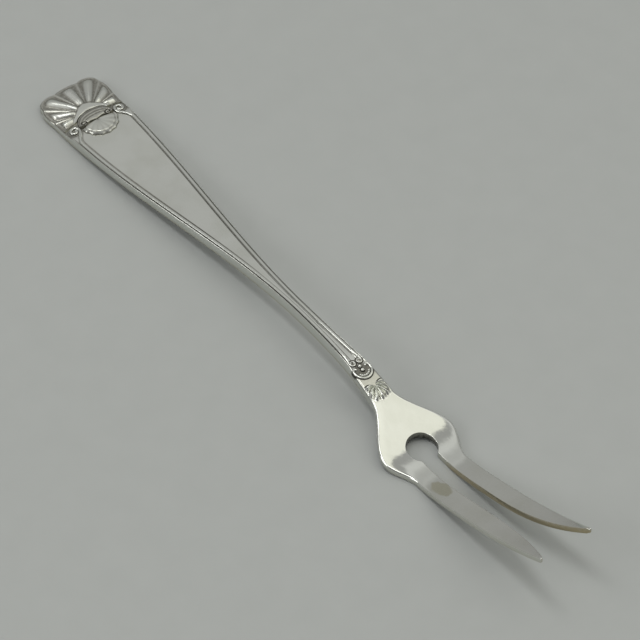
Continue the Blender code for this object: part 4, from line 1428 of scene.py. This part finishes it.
class FORK_OT_stage(bpy.types.Operator):
    """Set the plain floor, the soft light and the camera"""
    bl_idname = "fork.stage"
    bl_label = "Stage"

    def execute(self, context):
        scene = context.scene
        bm = bmesh.new()
        bmesh.ops.create_grid(bm, x_segments=1, y_segments=1, size=FLOOR_HALF,
                              matrix=Matrix.Translation((0.0, 0.0, -FLOOR_DROP)))
        mesh = mesh_of("floor", bm)
        mesh.materials.append(painted_board(context))
        floor = add_object("floor", mesh)
        self.add_room(scene)
        for lamp in LAMPS:
            self.add_lamp(*lamp)
        self.add_camera(scene)
        scene.view_settings.view_transform = "Standard"
        return {"FINISHED"}

    def add_room(self, scene):
        """Soft room: grey walls, a bright ring below a darker one overhead, and a dark screen."""
        world = bpy.data.worlds.new("soft_room")
        world.use_nodes = True
        tree = world.node_tree
        background = tree.nodes["Background"]
        direction = add_node(tree, "ShaderNodeTexCoord", {}, "Generated")
        height = add_node(tree, "ShaderNodeSeparateXYZ", {0: direction}, "Z")
        height = add_node(tree, "ShaderNodeMapRange", {"Value": height, 1: -1.0, 2: 1.0})
        level = add_node(tree, "ShaderNodeValToRGB", {0: height})
        stops = level.node.color_ramp.elements
        for place, _ in ROOM_LEVELS[1:-1]:
            stops.new(place)
        for stop, (_, grey) in zip(stops, ROOM_LEVELS):
            stop.color = (grey, grey, ROOM_BLUE * grey, 1.0)
        towards = add_node(tree, "ShaderNodeVectorMath", {0: direction, 1: camera_back()}, "Value",
                           operation="DOT_PRODUCT")
        screen = add_node(tree, "ShaderNodeMapRange", {"Value": towards, 1: math.cos(SCREEN_EDGE),
                                                       2: math.cos(SCREEN_CORE), 3: 1.0, 4: SCREEN_LEVEL})
        tree.links.new(screen, background.inputs["Strength"])
        tree.links.new(level, background.inputs["Color"])
        scene.world = world

    def add_lamp(self, name, direction, width, height, radiance, tint):
        """Soft lamp over the fork, with its brightness given as the level at which it is seen."""
        data = bpy.data.lights.new(name, "AREA")
        data.shape = "RECTANGLE"
        data.size = width
        data.size_y = height
        data.energy = radiance * math.pi * width * height
        data.color = tint
        lamp = add_object(name, data)
        direction = Vector(direction).normalized()
        lamp.location = LAMP_DISTANCE * direction
        lamp.rotation_euler = direction.to_track_quat("Z", "Y").to_euler()

    def add_camera(self, scene):
        data = bpy.data.cameras.new("camera")
        data.sensor_width = CAMERA_SENSOR
        data.lens = CAMERA_LENS
        camera = add_object("camera", data)
        back = camera_back()
        turn = back.to_track_quat("Z", "Y") @ Matrix.Rotation(CAMERA_ROLL, 3, "Z").to_quaternion()
        camera.rotation_euler = turn.to_euler()
        camera.location = CAMERA_TARGET + CAMERA_DISTANCE * back
        scene.camera = camera


class FORK_PT_panel(bpy.types.Panel):
    """Sidebar panel with the fork's operators, sizes and colours"""
    bl_idname = "FORK_PT_panel"
    bl_label = "Cold Meat Fork"
    bl_space_type = "VIEW_3D"
    bl_region_type = "UI"
    bl_category = "Fork"

    def draw(self, context):
        for operator in OPERATORS:
            self.layout.operator(operator.bl_idname)
        for group in (context.scene.fork_sizes, context.scene.fork_colours):
            column = self.layout.column(align=True)
            for name in group.__annotations__:
                column.prop(group, name)


OPERATORS = (FORK_OT_handle, FORK_OT_head, FORK_OT_shell, FORK_OT_cartouche, FORK_OT_threads, FORK_OT_neck,
             FORK_OT_stage)
CLASSES = (ForkSizes, ForkColours, *OPERATORS, FORK_PT_panel)


def register():
    for item in CLASSES:
        bpy.utils.register_class(item)
    bpy.types.Scene.fork_sizes = bpy.props.PointerProperty(type=ForkSizes)
    bpy.types.Scene.fork_colours = bpy.props.PointerProperty(type=ForkColours)


def unregister():
    del bpy.types.Scene.fork_colours
    del bpy.types.Scene.fork_sizes
    for item in reversed(CLASSES):
        bpy.utils.unregister_class(item)


def main():
    register()
    bpy.ops.fork.handle()
    bpy.ops.fork.head()
    bpy.ops.fork.shell()
    bpy.ops.fork.cartouche()
    bpy.ops.fork.threads()
    bpy.ops.fork.neck()
    bpy.ops.fork.stage()


if __name__ == "__main__":
    main()
